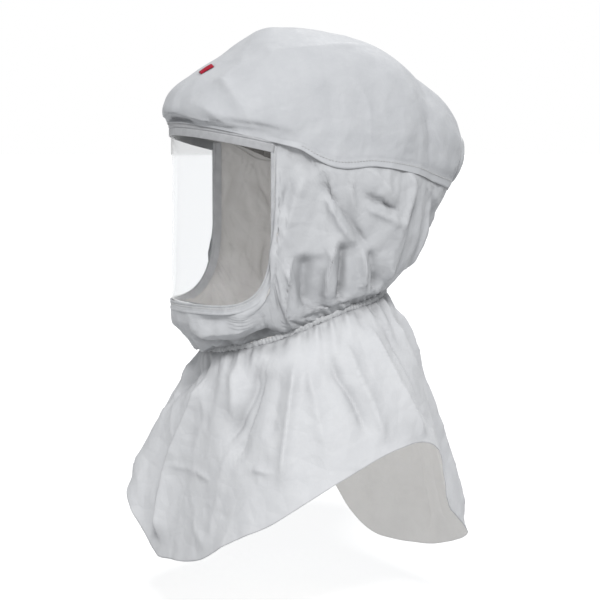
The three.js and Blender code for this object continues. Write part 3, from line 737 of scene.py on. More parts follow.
def window_side(count=60):
    """The window's rear and lower edge from the side: (y, z) from its top corner to the bottom's
    straight part."""
    back, bend, bottom = WINDOW["back"], WINDOW["bend"], WINDOW["bottom"]
    rear = [(back, z) for z in np.linspace(WINDOW["top_back"], bend, count // 2)[:-1]]
    a, b, c, d = (np.array(p) for p in
                  ((back, bend), (back, bottom + 28), (back - 14, bottom), (back - 54, bottom)))
    curve = [tuple((1 - t) ** 3 * a + 3 * t * (1 - t) ** 2 * b + 3 * t * t * (1 - t) * c + t ** 3 * d)
             for t in np.linspace(0, 1, count)]
    return np.array(rear + curve)


def window_top(y):
    """The height of the window's upper edge."""
    front = VISOR["axis"] - VISOR["depth"]
    share = (np.asarray(y) - front) / (WINDOW["back"] - front)
    return WINDOW["top_front"] + share * (WINDOW["top_back"] - WINDOW["top_front"])


def net_place(y, z, a, s):
    """The (a, s) of the hood's point with a given y and z on the +X side, from a first guess."""
    small = 1e-3
    for _ in range(12):
        here = on_hood(a, s)
        da = (on_hood(a + small, s) - here) / small
        ds = (on_hood(a, s + small) - here) / small
        ry, rz = y - here[1], z - here[2]
        size = da[1] * ds[2] - da[2] * ds[1]
        a = a + float(np.clip((ry * ds[2] - rz * ds[1]) / size, -0.4, 0.4))
        s = s + float(np.clip((da[1] * rz - da[2] * ry) / size, -0.4, 0.4))
    return a, s


def s_at_height(a, z, low, high):
    """The s between low and high where the hood's column a is at height z."""
    for _ in range(30):
        middle = (low + high) / 2
        if on_hood(a, middle)[2] > z:
            low = middle
        else:
            high = middle
    return (low + high) / 2


CORNER = net_place(WINDOW["back"], WINDOW["top_back"], 3.0, 6.5)
SEAM_DROP = 0.22  # the crown overhangs its seam by this many rings


def crown_edge(a):
    """How many rings down the crown's lower edge lies, a steps round."""
    a = np.asarray(a, float) % STEPS
    a = np.where(a > HALF_TURN, STEPS - a, a)
    columns = np.linspace(0, CORNER[0], 24)
    lows = []
    for column in columns:
        top = on_hood(column, 6.3)
        lows.append(s_at_height(column, float(window_top(min(top[1], WINDOW["back"]))) + 0.5, 5.5, 7.2))
    in_front = np.interp(a, columns, lows)
    # At the side and the back the seam wanders a little, and it rises behind the ear.
    behind = SEAM + SEAM_DROP + 0.04 * np.sin(2.1 * a) * smooth(a, 4, 5) - 0.1 * smooth(a, 5, 6.6)
    return in_front + (behind - in_front) * smooth(a, CORNER[0] - 0.05, CORNER[0] + 0.55)


# ---------------------------------------------------------------- crown

# Folds of the crown on its +X side: height, width, lean, path.
CROWN_FOLDS = [
    (2.6, 9, 0.0, [(38, -133, 19), (60, -124, 12), (74, -117, 5), (88, -93, -11)]),
    (4.6, 8, 0.6, [(-34, -130, 11), (-4, -137, 10), (30, -132, 7), (56, -124, 2), (78, -109, -4)]),
    (-4.4, 6, 0.0, [(-30, -134, -1), (0, -138, -2), (30, -134, -3), (56, -126, -7)]),
    (3.2, 10, 0.2, [(46, -112, 42), (64, -105, 36), (84, -96, 16), (94, -86, -8)]),
    (-2.0, 9, 0.0, [(30, -126, 32), (48, -122, 20), (66, -112, 8), (78, -101, -6)]),
    (-1.6, 12, 0.0, [(86, -70, 38), (96, -62, 14), (101, -50, -10)]),
    (1.5, 9, 0.5, [(97, 18, 42), (101, 34, 19), (107, 36, -6), (109, 37, -28)]),
    (-1.3, 14, 0.0, [(92, -6, 48), (104, -4, 18), (109, -6, -18)]),
    (1.6, 8, 0.4, [(66, 92, 42), (78, 92, 14), (84, 100, -16), (86, 100, -44)]),
    (-2.2, 9, 0.0, [(74, 108, 10), (72, 118, -16), (62, 132, -42)]),
    (2.2, 7, 0.5, [(66, 112, 4), (70, 124, -19), (60, 138, -40), (52, 143, -56)]),
    (-1.6, 7, 0.0, [(46, 128, 8), (52, 138, -18), (50, 146, -42)]),
    (1.5, 8, 0.0, [(60, -64, 66), (72, -20, 71), (66, 20, 74), (46, 52, 76)]),
    (1.4, 7, 0.6, [(14, 110, 52), (26, 128, 24), (40, 148, -6)]),
]
CROWN_RELIEF = 1.35  # its folds stand this much higher than they are listed
CROWN_QUADS = 180  # along each side of its square net
RING_PITCH = 30  # about how many millimetres lie between two rings

CLOTH_THICKNESS = 0.7


def crown_net():
    """Points of a square net laid over the crown, with no pole. With each go how far it lies inside
    the edge, about in millimetres, and its place round the hood in steps."""
    places = np.linspace(-1, 1, CROWN_QUADS + 1)
    u, v = np.meshgrid(places, places, indexing="ij")
    x, y = u * np.sqrt(1 - v * v / 2), v * np.sqrt(1 - u * u / 2)
    r = np.sqrt(x * x + y * y)
    a = (np.arctan2(x, -y) / (2 * math.pi) * STEPS) % STEPS
    edge = crown_edge(a)
    s = np.clip(r, 0, 1) * edge
    return on_hood(a, s).reshape(-1, 3), ((edge - s) * RING_PITCH).ravel(), a.ravel()


def add_crown():
    """The crown cap with its turned hem and the port's hole. Returns its outer surface's points."""
    points, inset, a = crown_net()
    faces = grid_faces(CROWN_QUADS + 1, CROWN_QUADS + 1)
    normals = normals_of(points, faces)
    if normals[len(normals) // 2][2] < 0:
        faces = faces[:, ::-1]
        normals = -normals
    folds = CROWN_FOLDS + on_other_side(CROWN_FOLDS, 6, 0.8)
    height = fold_heights(points, normals, folds, CROWN_RELIEF)
    height += crumple(points, 52, 1.3, stretch=(1, 1, 0.7), seed=1.0)
    height += crumple(points, 19, 0.45, seed=4.0) * smooth(points[:, 2], 60, -30)
    # The patch round the port is flat, with short creases drawn out from it.
    away = points - PORT_CENTRE
    depth = away @ PORT_AXIS
    in_plane = away - depth[:, None] * PORT_AXIS
    r = np.linalg.norm(in_plane, axis=1)
    turn = np.arctan2(in_plane[:, 0], in_plane @ PORT_UP)
    behind = points[:, 1] > 60
    calm = np.where(behind, smooth(r, 34, 62), 1.0)
    rays = 1.1 * np.cos(11 * turn + 1.3 * np.sin(3 * turn))
    rays = rays * smooth(r, PORT["flat"], 44) * (1 - smooth(r, 50, 84))
    height = height * calm + np.where(behind, rays, 0)
    # The hem is turned under, so it stands a little proud.
    side = smooth(np.minimum(a, STEPS - a), CORNER[0] - 0.3, CORNER[0] + 0.5)
    corner = smooth(-points[:, 1], 0, 45)
    height = np.where(height < 0, height * smooth(inset, 0, 7), height)
    height += (1.2 + 1.6 * side * corner) * np.exp(-inset / 6.0)
    height -= 0.5 * np.exp(-((inset - 8.5) / 1.6) ** 2) * side
    points = points + normals * height[:, None]
    in_hole = behind & (r < PORT["hole"])
    faces = faces[~in_hole[faces].any(1)]
    used, corners = np.unique(faces, return_inverse=True)
    crown = mesh_object("crown_cap", points[used], corners.reshape(faces.shape))
    thicken(crown, CLOTH_THICKNESS, lining=INSIDE_CLOTH_SHADED)
    finish_piece(crown, CROWN_CLOTH_SHADED,
                 stands_for=("crown_panel", "brow_panel", "port_patch"))
    return points


# ---------------------------------------------------------------- gathers at the neck

def gather_wave(a):
    """Three rows of puckers round the neck, as (fine, middle, broad) waves between -1 and 1."""
    turn = np.asarray(a, float) / STEPS * 2 * math.pi
    drift = 1.1 * np.sin(3 * turn + 0.4) + 0.8 * np.sin(7 * turn + 1.9)
    fine = np.cos(66 * turn + 2.4 * drift)
    middle = np.cos(27 * turn + 1.7 * drift + 0.6)
    broad = np.cos(11 * turn + 1.2 * drift + 1.1)
    return fine, middle, broad


def with_puckers(height, a, from_neck, waves):
    """Adds the puckers drawn up by the elastic: the finer the wave, the sooner it dies out away from
    the neck. A wave is (height, reach, and where it starts and is full)."""
    for wave, (tall, reach, start, full) in zip(gather_wave(a), waves):
        height = height + tall * wave * np.exp(-from_neck / reach) * smooth(from_neck, start, full)
    return height


# ---------------------------------------------------------------- curtain

CURTAIN_FOLDS = [
    (9.0, 19, 0.0, [(107, -31, -46), (104, -42, -80), (100, -55, -120), (94, -68, -154),
                    (86, -86, -185), (71, -102, -206)]),
    (-6.0, 9, 0.0, [(104, -48, -40), (103, -50, -70), (101, -54, -98)]),
    (-9.0, 10, 0.4, [(108, -24, -52), (112, -13, -70), (114, 3, -84), (115, 18, -102),
                     (111, 31, -118), (106, 40, -134)]),
    (5.5, 8, 0.0, [(111, -20, -68), (113, -9, -82), (115, 7, -108), (110, 30, -132)]),
    (5.5, 8, 0.5, [(111, 19, -49), (113, 14, -70), (114, 16, -86), (114, 26, -100)]),
    (5.5, 10, 0.0, [(110, 28, -50), (109, 42, -56), (106, 57, -74), (101, 73, -90)]),
    (-9.0, 8, 0.4, [(113, 22, -74), (112, 36, -79), (108, 52, -84), (101, 74, -96)]),
    (-8.0, 11, 0.3, [(104, -60, -31), (107, -46, -35), (109, -32, -42), (111, -16, -50)], 4),
    (5.5, 7, 0.0, [(113, 24, -84), (112, 33, -88), (108, 53, -97), (101, 73, -105), (94, 86, -112)]),
    (7.5, 11, 0.5, [(98, 78, -46), (95, 86, -62), (96, 87, -82), (99, 79, -98), (97, 75, -125)]),
    (-6.5, 11, 0.0, [(90, 92, -70), (89, 90, -98), (88, 84, -126)]),
    (9.5, 7, -0.5, [(103, -42, -130), (102, -46, -145), (100, -48, -160), (95, -49, -184),
                    (87, -43, -203), (82, -34, -211)]),
    (-19.0, 21, 0.5, [(106, -33, -136), (104, -32, -160), (100, -30, -181), (91, -27, -200)], 5),
    (9.0, 8, 0.4, [(114, 2, -112), (113, -3, -130), (110, -8, -150), (104, -9, -169), (95, -8, -186)]),
    (-17.0, 14, 0.6, [(113, 6, -124), (109, 7, -152), (101, 7, -172), (92, 6, -190)], 5),
    (9.0, 8, 0.5, [(111, 27, -120), (106, 30, -146), (98, 33, -164), (86, 38, -179)]),
    (-14.0, 10, 0.4, [(106, 39, -132), (95, 44, -152), (80, 49, -174)], 5),
    (7.0, 8, 0.3, [(98, 60, -116), (92, 62, -142), (76, 66, -168)]),
    (8.0, 12, -0.4, [(-24, -104, -226), (4, -108, -227), (32, -104, -226), (54, -93, -222)]),
    (-15.0, 12, 0.0, [(58, -88, -221), (68, -75, -220), (75, -62, -217), (79, -50, -213)]),
    (8.0, 13, 0.3, [(20, -126, -212), (48, -118, -214), (68, -100, -211), (82, -74, -203)]),
    (-6.0, 9, 0.0, [(30, -128, -202), (58, -116, -202), (78, -92, -196), (90, -68, -182)]),
    (-7.0, 10, 0.0, [(10, -122, -224), (36, -108, -225), (58, -88, -222)]),
]
BACK_FOLDS = [
    (5.7, 9, 0.3, [(70, 118, -72), (62, 120, -100), (54, 108, -132), (44, 90, -160)]),
    (-6.5, 9, 0.0, [(48, 132, -82), (40, 128, -110), (34, 112, -138), (26, 94, -160)]),
    (6.1, 10, 0.4, [(24, 142, -88), (18, 136, -112), (16, 118, -140), (14, 98, -160)]),
    (-5.7, 10, 0.0, [(-2, 146, -86), (-4, 134, -116), (-2, 114, -142), (-4, 92, -164)]),
    (6.5, 9, -0.4, [(-26, 142, -84), (-30, 130, -112), (-22, 112, -140), (-18, 92, -162)]),
    (-6.1, 9, 0.0, [(-52, 130, -84), (-46, 122, -112), (-38, 106, -138), (-30, 88, -160)]),
    (5.3, 9, -0.3, [(-74, 114, -80), (-66, 114, -104), (-58, 100, -136), (-46, 80, -164)]),
    (4.6, 8, 0.3, [(84, 104, -66), (60, 126, -78), (30, 140, -92)]),
    (-3.8, 8, 0.0, [(-86, 100, -70), (-60, 122, -80), (-34, 136, -94)]),
]
CURTAIN_ROWS = 84
CURTAIN_HALF = 190  # columns on each side


def curtain_outlines():
    """(a, s) along the curtain's upper edge and along the neck, from the back round to the front."""
    tuck = 0.16  # rings of the curtain that lie under the crown's hem
    seam = [(a, float(crown_edge(a)) - tuck) for a in np.linspace(HALF_TURN, CORNER[0] + 0.12, 70)]
    side = []
    a, s = CORNER
    for y, z in window_side():
        a, s = net_place(y, z, a, s)
        side.append((a, s))
    last = side[-1]
    base = [(a, s_at_height(a, WINDOW["bottom"], 9.0, 10.6)) for a in np.linspace(last[0], 0, 30)[1:]]
    upper = np.array(seam + side + base)
    run = run_along(on_hood(upper[:, 0], upper[:, 1]))
    share = np.linspace(0, 1, CURTAIN_HALF + 1)
    upper = np.stack([np.interp(share * run[-1], run, upper[:, k]) for k in (0, 1)], 1)
    # Below the window's rear edge the columns lean back, so that none of them crosses the window.
    neck_a = np.interp(share, (0, 0.53, 0.79, 1), (HALF_TURN, 3.95, 2.85, 0))
    return upper, np.stack([neck_a, np.full(len(share), float(NECK))], 1)


def neck_drop(a, up, out=0.0):
    """The neck ring, moved up or down and grown outwards."""
    p = around(HOOD[NECK], a)
    radial = p + (0, 5, 0)
    radial[..., 2] = 0
    outwards = unit(radial) * np.asarray(out)[..., None]
    return p + outwards + np.array([0, 0, 1.0]) * np.asarray(up)[..., None]


def add_curtain():
    """The cloth from the crown's seam and the window's edge down to the neck, as one piece."""
    upper, neck = curtain_outlines()
    t = np.linspace(0, 1, CURTAIN_ROWS + 1)[:, None, None]
    t = 1 - (1 - t) ** 1.12
    left = upper * (1 - t) + neck * t
    right = left[:, -2:0:-1].copy()
    right[..., 0] = STEPS - right[..., 0]
    net = np.concatenate([left, right], 1)[:, ::-1]
    rows, columns = net.shape[:2]
    a, s = net[..., 0].ravel(), net[..., 1].ravel()
    share = np.repeat(t[:, 0, 0], columns)
    points = on_hood(a, s)
    near_neck = smooth(s, NECK - 1, NECK)
    points[:, 2] += near_neck
    # Along the window the cloth lies on the visor.
    first = points.reshape(rows, columns, 3)[0]
    edge = np.linalg.norm(points - np.tile(first, (rows, 1)), axis=1)
    by_window = np.tile(smooth(-first[:, 1], 58, 62), rows) * (1 - smooth(edge, 1, 15))
    back = np.clip((VISOR["axis"] - points[:, 1]) / VISOR["depth"], 0, 1)
    on_visor = np.sign(points[:, 0]) * VISOR["width"] * np.sqrt(1 - back * back)
    wide = smooth(np.abs(points[:, 0]), 40, 60)
    points[:, 0] += (on_visor - points[:, 0]) * by_window * wide
    faces = grid_faces(rows, columns, loop=True)
    normals = normals_of(points, faces)
    folds = CURTAIN_FOLDS + on_other_side(CURTAIN_FOLDS, 9, 0.75) + BACK_FOLDS
    height = fold_heights(points, normals, folds)
    from_neck = np.linalg.norm(points - around(HOOD[NECK], a), axis=1)
    waves = [(1.9, 8, -3, 5), (2.8, 18, -6, 10), (1.6, 34, 0, 30)]
    height = with_puckers(height, a, from_neck, waves)
    height += crumple(points, 34, 1.5, stretch=(1, 1, 0.55), seed=2.0)
    height += crumple(points, 13, 0.35, stretch=(1, 1, 0.7), seed=5.0)
    # The cloth is held flat along the window and along the crown's seam.
    tucked = np.tile(smooth(first[:, 1], -66, -60), rows) * (height < 0)
    height *= smooth(edge, 1 - 9 * tucked, 13 - 8 * tucked)
    height *= smooth(from_neck, -5, 9)
    points = points + normals * height[:, None]
    points = points + normals * (0.6 * np.sin(math.pi * np.clip(share, 0, 1)))[:, None]
    curtain = mesh_object("hood_curtain", points, faces)
    beside_window = np.tile(smooth(-first[:, 1], 56, 61), rows)
    held = 1 - smooth(edge, 6 + 10 * beside_window, 16 + 18 * beside_window) * smooth(from_neck, 2, 8)
    held = np.where((share > 0.999) | (share < 0.001), 1.0, held)
    relax(curtain, held, growth=0.018, cap=6.0)
    thicken(curtain, CLOTH_THICKNESS, lining=INSIDE_CLOTH_SHADED)
    finish_piece(curtain, WHITE_CLOTH,
                 stands_for=("left_side_panel", "right_side_panel", "chin_panel"))


# ---------------------------------------------------------------- bib

BIB_FOLDS = [
    (-5.0, 12, 0.0, [(24, -98, -246), (-20, -104, -262), (-60, -113, -287), (-79, -126, -318)]),
    (9.0, 18, 0.55, [(14, -106, -262), (6, -112, -290), (-10, -124, -333), (-24, -131, -368),
                     (-27, -138, -408), (-27, -146, -444)]),
    (5.0, 16, 0.0, [(46, -84, -246), (56, -89, -262), (64, -92, -285), (66, -98, -310)]),
    (-5.5, 11, 0.0, [(70, -72, -242), (78, -80, -273), (72, -94, -303), (63, -105, -330)]),
    (-6.0, 26, -0.5, [(76, -62, -238), (84, -72, -280), (84, -88, -320), (80, -100, -352)]),
    (5.0, 11, -0.4, [(98, -40, -240), (104, -44, -258), (112, -50, -283), (124, -61, -331),
                     (130, -66, -368)]),
    (-4.0, 10, 0.0, [(92, -52, -250), (100, -60, -284), (110, -72, -326)]),
    (3.6, 10, 0.3, [(102, -30, -244), (112, -30, -262), (122, -28, -284), (134, -26, -318),
                    (142, -22, -350)]),
    (-4.2, 9, 0.0, [(108, -6, -232), (120, -4, -256), (133, 10, -283), (146, 18, -318)]),
    (4.0, 11, 0.4, [(104, 10, -218), (122, 16, -250), (138, 28, -288), (148, 36, -326)]),
    (4.2, 11, -0.5, [(90, 40, -206), (104, 46, -228), (116, 60, -262), (126, 76, -296),
                     (133, 90, -324)]),
    (-4.2, 10, 0.0, [(84, 56, -206), (96, 72, -240), (106, 90, -284), (112, 106, -330)]),
    (4.0, 12, 0.0, [(70, 72, -200), (80, 96, -246), (84, 118, -310), (84, 130, -370)]),
    (2.0, 5, 0.5, [(-22, -130, -362), (8, -124, -361), (41, -119, -364), (58, -114, -368)]),
    (2.4, 6, 0.5, [(99, -92, -350), (112, -82, -350), (123, -71, -354)]),
    (-1.6, 5, 0.0, [(60, -116, -392), (84, -108, -398), (104, -94, -392)]),
    (2.0, 7, 0.0, [(30, -124, -404), (46, -124, -424), (66, -120, -436)]),
]
BIB_FAR_FOLDS = [
    (5.0, 14, 0.4, [(-46, -100, -250), (-74, -112, -300), (-96, -134, -350), (-104, -154, -386)]),
    (-5.0, 12, 0.0, [(-66, -76, -244), (-96, -86, -290), (-118, -98, -334), (-124, -112, -360)]),
    (5.0, 12, 0.0, [(-84, -52, -240), (-112, -60, -286), (-134, -70, -340)]),
    (-4.5, 12, 0.0, [(-94, -22, -232), (-126, -24, -282), (-148, -26, -334)]),
    (5.0, 12, 0.3, [(-94, 12, -222), (-126, 20, -276), (-148, 24, -338)]),
    (-5.0, 12, 0.0, [(-84, 46, -212), (-112, 66, -272), (-134, 84, -352), (-136, 92, -400)]),
    (6.0, 14, 0.4, [(-70, 72, -206), (-94, 106, -276), (-112, 130, -366), (-118, 130, -440)]),
    (-5.5, 13, 0.0, [(-48, 84, -198), (-64, 122, -270), (-82, 148, -364), (-92, 158, -452)]),
    (6.5, 14, -0.3, [(-22, 92, -192), (-34, 134, -268), (-48, 160, -364), (-54, 172, -458)]),
    (-5.5, 13, 0.0, [(6, 92, -190), (2, 136, -266), (-8, 166, -360), (-16, 182, -446)]),
    (5.5, 13, 0.3, [(32, 86, -190), (36, 126, -262), (32, 158, -352), (28, 178, -430)]),
    (-4.5, 12, 0.0, [(54, 78, -194), (62, 112, -256), (62, 142, -330), (60, 150, -390)]),
]
BIB_ROWS = 110
BIB_COLUMNS = 416
BIB_RELIEF = 1.6  # its folds stand this much higher than they are listed
FLARE = 0.72  # below 1, the bib spreads most just under the neck
BIB_DROP = -2.2  # its upper edge lies this far under the neck ring


def bib_point(a, t):
    """Points of the smooth bib, a steps round it and a share t of the way to its hem."""
    top = neck_drop(a, BIB_DROP)
    hem = around(HEM, a)
    flare = np.asarray(t)[..., None] ** FLARE
    made = top + (hem - top) * flare
    made[..., 2] = top[..., 2] + (hem[..., 2] - top[..., 2]) * t
    return made


def add_bib():
    """The bib and cape below the neck, as one piece."""
    a = np.tile(np.arange(BIB_COLUMNS) / BIB_COLUMNS * STEPS, BIB_ROWS + 1)
    t = np.repeat(np.linspace(0, 1, BIB_ROWS + 1), BIB_COLUMNS)
    points = bib_point(a, t)
    faces = grid_faces(BIB_ROWS + 1, BIB_COLUMNS, loop=True)
    normals = normals_of(points, faces)
    height = fold_heights(points, normals, BIB_FOLDS + BIB_FAR_FOLDS, BIB_RELIEF)
    from_neck = np.linalg.norm(points - neck_drop(a, BIB_DROP), axis=1)
    waves = [(1.6, 9, -3, 5), (2.6, 26, -6, 10), (2.2, 70, 0, 40)]
    height = with_puckers(height, a, from_neck, waves)
    height += crumple(points, 58, 2.2, stretch=(1, 1, 0.5), seed=3.0)
    height += crumple(points, 21, 0.45, stretch=(1, 1, 0.7), seed=6.0)
    height *= smooth(from_neck, -4, 8)
    # The cut edge waves a little.
    to_hem = (1 - t) * 220
    height += 1.8 * np.sin(a * 4.1 + 0.8 * np.sin(a * 1.3)) * np.exp(-to_hem / 16)
    points = points + normals * height[:, None]
    bib = mesh_object("bib_cape", points, faces)
    thicken(bib, CLOTH_THICKNESS, lining=BIB_INSIDE_SHADED)
    finish_piece(bib, BIB_CLOTH_LIT, stands_for=("front_bib", "back_bib"))


# ---------------------------------------------------------------- neck

def add_neck():
    """The elastic's casing: a thin tube of cloth drawn up into small tight puckers."""
    count = 1040
    a = np.arange(count) / count * STEPS
    fine, middle, _ = gather_wave(a)
    rise = -0.4 + (0.5 * np.sin(a * 5.3 + 2.0 * np.sin(a * 1.7)) + 0.3 * np.sin(a * 12.1))
    path = neck_drop(a, rise, 0.8)
    radial = neck_drop(a, rise, 1.8) - path
    bead = np.cos(118 * a / STEPS * 2 * math.pi + 5.0 * np.sin(a * 2.2) + 3.0 * np.sin(a * 5.1))
    bead = 0.5 + 0.5 * np.sign(bead) * np.abs(bead) ** 0.6

    def section(k):
        swell = 1.1 + 1.0 * bead[k] + 0.35 * middle[k]
        tall = 2.6 + 0.8 * bead[k] + 0.4 * fine[k]
        return [(tall * math.cos(w), swell * math.sin(w)) for w in np.linspace(0, 2 * math.pi, 13)[:-1]]

    points, faces = swept(path, section, radial, closed=True)
    neck = mesh_object("neck_casing", points, faces)
    finish_piece(neck, ELASTIC, stands_for=("neck_elastic",))


CROWN_SURFACE = add_crown()
add_curtain()
add_bib()
add_neck()


# ---------------------------------------------------------------- visor

def visor_out(turn, out):
    """A point (x, y) of the visor's elliptic cylinder, grown outwards."""
    x = (VISOR["width"] + out) * np.sin(turn)
    y = VISOR["axis"] - (VISOR["depth"] + out) * np.cos(turn)
    return x, y


def add_lens():
    """The clear sheet, trimmed to just inside the window's outline."""
    turns = np.linspace(-math.pi / 2, math.pi / 2, 181)
    side = window_side(200)
    order = np.argsort(side[:, 0], kind="stable")
    rows = []
    down = np.linspace(0, 1, 40)
    for turn in turns:
        x, y = visor_out(turn, 0)
        top = float(window_top(y)) - 1.0
        low = WINDOW["bottom"] + 1.0
        if y > WINDOW["back"] - 54:
            low = float(np.interp(y, side[order, 0], side[order, 1])) + 1.0
        rows.append([(x * 0.996, y, top + (low - top) * t) for t in down])
    points = np.array(rows)
    faces = grid_faces(len(turns), len(down))[:, ::-1]
    lens = mesh_object("visor_lens", points.reshape(-1, 3), faces)
    thicken(lens, 0.5)
    finish_piece(lens, LENS, stands_for=("visor",))


def window_path():
    """The window's rear and lower edge all the way round, on the visor's cylinder, with the outward
    direction at each point."""
    side = window_side(70)
    turn = np.arccos(np.clip((VISOR["axis"] - side[:, 0]) / VISOR["depth"], -1, 1))
    flat_turn = np.linspace(turn[-1], -turn[-1], 90)[1:-1]
    turns = np.concatenate([turn, flat_turn, -turn[::-1]])
    heights = np.concatenate([side[:, 1], np.full(len(flat_turn), WINDOW["bottom"]), side[::-1, 1]])
    return on_cylinder(turns, heights)


def on_cylinder(turns, heights, out=0.6):
    """A path on the visor's cylinder, grown outwards, and the outward direction along it."""
    x, y = visor_out(turns, out)
    path = np.stack([x, y, heights], 1)
    slope = (np.sin(turns) / VISOR["width"], -np.cos(turns) / VISOR["depth"], np.zeros(len(turns)))
    return path, unit(np.stack(slope, 1))


def even_path(path, up, step):
    """The same path and outward directions at even steps."""
    run = run_along(path)
    at = np.linspace(0, run[-1], max(3, int(run[-1] / step) + 1))
    path = np.stack([np.interp(at, run, path[:, k]) for k in range(3)], 1)
    up = np.stack([np.interp(at, run, up[:, k]) for k in range(3)], 1)
    return path, unit(up)


TAPE_STEP = 2.0  # between the sections of a swept tape


def add_tape(name, path, up, section, material, stands_for):
    """A binding swept along a path, with its section."""
    points, faces = swept(path, section, up)
    tape = mesh_object(name, points, faces)
    finish_piece(tape, material, stands_for=(stands_for,))


def add_tapes():
    """The narrow tape round the window's sides and base, and the wide one along its top."""
    path, up = even_path(*window_path(), TAPE_STEP)
    edge = [(3.4, -1.6), (3.4, 1.3), (2.0, 1.3), (1.4, 0.5), (-4.0, 0.5), (-4.6, 1.1), (-6.4, 1.1),
            (-6.4, -1.2)]
    add_tape("window_edge_tape", path, up, rounded(edge, 0.5), EDGE_TAPE, "visor_edge_binding")

    turns = np.linspace(math.pi / 2 + 0.02, -math.pi / 2 - 0.02, 140)
    heights = window_top(visor_out(turns, 0)[1]) + 3.0 * (1 - np.cos(turns))
    path, up = even_path(*on_cylinder(turns, heights, 1.2), TAPE_STEP)
    forward = (VISOR["axis"] - path[:, 1]) / VISOR["depth"]
    across = np.abs(np.arctan2(path[:, 0] / VISOR["width"], forward))

    def section(k):
        """Its upper edge comes down towards the temples, to stay under the crown."""
        top = 1.8 - 4.4 * (1 - math.cos(across[k]))
        return rounded([(top, -1.4), (top, 1.3), (-3.4, 1.5), (-4.2, 0.2), (-5.0, 1.0), (-12.4, 1.0),
                        (-12.4, -1.4)], 0.6)

    add_tape("window_top_tape", path, up, section, TAPE, "visor_top_binding")


add_lens()
add_tapes()

# ---------------------------------------------------------------- tab

TAB_PLACE = (10, -105, 48)
TAB_SIZE = {"wide": 20.0, "tall": 15.0}


def add_tab(crown):
    """A woven tab sewn flat on the crown, above the visor."""
    middle = crown[np.linalg.norm(crown - TAB_PLACE, axis=1).argmin()]
    near = crown[np.linalg.norm(crown - middle, axis=1) < 18]
    out = np.linalg.svd(near - near.mean(0))[2][2]
    out *= np.sign(out[2])
    # Its long side lies nearly level, across the slope of the brow.
    across = np.cross((0, -0.6, 0.8), out) * (1, 0.2, 0.2)
    across /= np.linalg.norm(across)
    down = np.cross(across, out)
    columns, rows = 33, 25
    wide, tall = TAB_SIZE["wide"], TAB_SIZE["tall"]
    points = []
    for v in np.linspace(-0.5, 0.5, rows):
        for u in np.linspace(-0.5, 0.5, columns):
            flat = middle + across * u * wide + down * v * tall
            gaps = np.linalg.norm(near - flat, axis=1)
            weight = np.exp(-(gaps / 4) ** 2)
            rest = ((near - middle) @ out * weight).sum() / weight.sum()
            lift = 0.9 + 0.3 * math.cos(5.2 * u) + 0.25 * math.sin(4 * v + 1) - 0.5 * (abs(u) * 2) ** 6
            points.append(flat + out * (rest + lift))
    tab = mesh_object("red_tab", points, grid_faces(rows, columns))
    thicken(tab, 0.6, offset=0.0)
    finish_piece(tab, TAB, stands_for=("front_tab",))


add_tab(CROWN_SURFACE)

# ---------------------------------------------------------------- stitches

def laid_on(surface, places, normals, lift):
    """Places moved on to a surface given by its points, and lifted off it a little."""
    made = []
    for place, normal in zip(places, normals):
        gaps = np.linalg.norm(surface - place, axis=1)
        near = gaps < gaps.min() + 4
        weight = np.exp(-((gaps[near] - gaps.min()) / 2) ** 2)
        rest = ((surface[near] - place) @ normal * weight).sum() / weight.sum()
        made.append(place + normal * (rest + lift))
    return np.array(made)


def add_stitches(name, path, up, pitch=3.4, length=2.3, thick=0.32):
    """A row of lockstitches along a path, each a short thread that dips into the cloth at both ends."""
    path, up = even_path(path, up, pitch)
    along = unit(np.gradient(path, axis=0))
    ring = [(thick * math.cos(w), thick * math.sin(w)) for w in np.linspace(0, 2 * math.pi, 7)[:-1]]
    bow = np.array([(-0.5, -0.5), (-0.3, 0.15), (0, 0.3), (0.3, 0.15), (0.5, -0.5)])
    points, faces = [], []
    for place, way, out in zip(path, along, up):
        line = place + bow[:, :1] * length * way + bow[:, 1:] * out
        more, quads = swept(line, ring, np.tile(out, (len(line), 1)))
        start = sum(len(p) for p in points)
        points.append(more)
        faces += [tuple(v + start for v in quad) for quad in quads]
    seam = mesh_object(name, np.concatenate(points), faces)
    finish_piece(seam, THREAD)


def add_seams():
    """The rows of stitches above the crown's hem and along the window."""
    around_crown = np.linspace(CORNER[0] + 0.5, STEPS - CORNER[0] - 0.5, 240)
    rings = crown_edge(around_crown) - 0.2
    places = on_hood(around_crown, rings)
    ahead = on_hood(around_crown + 0.05, rings) - places
    below = on_hood(around_crown, rings + 0.1) - places
    out = unit(np.cross(ahead, below))
    out *= np.sign((out * (places - (0, 0, -40))).sum(1, keepdims=True))
    add_stitches("crown_seam_stitches", laid_on(CROWN_SURFACE, places, out, 0.25), out)

    path, up = window_path()
    add_stitches("window_stitches", path + up * 0.65, up, pitch=3.0, length=2.0)


add_seams()

# ---------------------------------------------------------------- pads of the head harness

# The headband: its tilt, height, radius, how far its two halves' centres lie apart, and half its width.
BAND = {"tilt": math.radians(22), "z": -32.0, "r": 80.0, "centre": 21.0, "half": 11.0}
RACKS = 78.7  # the radius of the ratchet's racks


def in_band(points):
    """Points of the headband's own tilted frame, placed in the hood's."""
    x, y, z = np.asarray(points, float).T
    c, t = math.cos(BAND["tilt"]), math.sin(BAND["tilt"])
    return np.stack([x, y * c + z * t, BAND["z"] - y * t + z * c], 1)


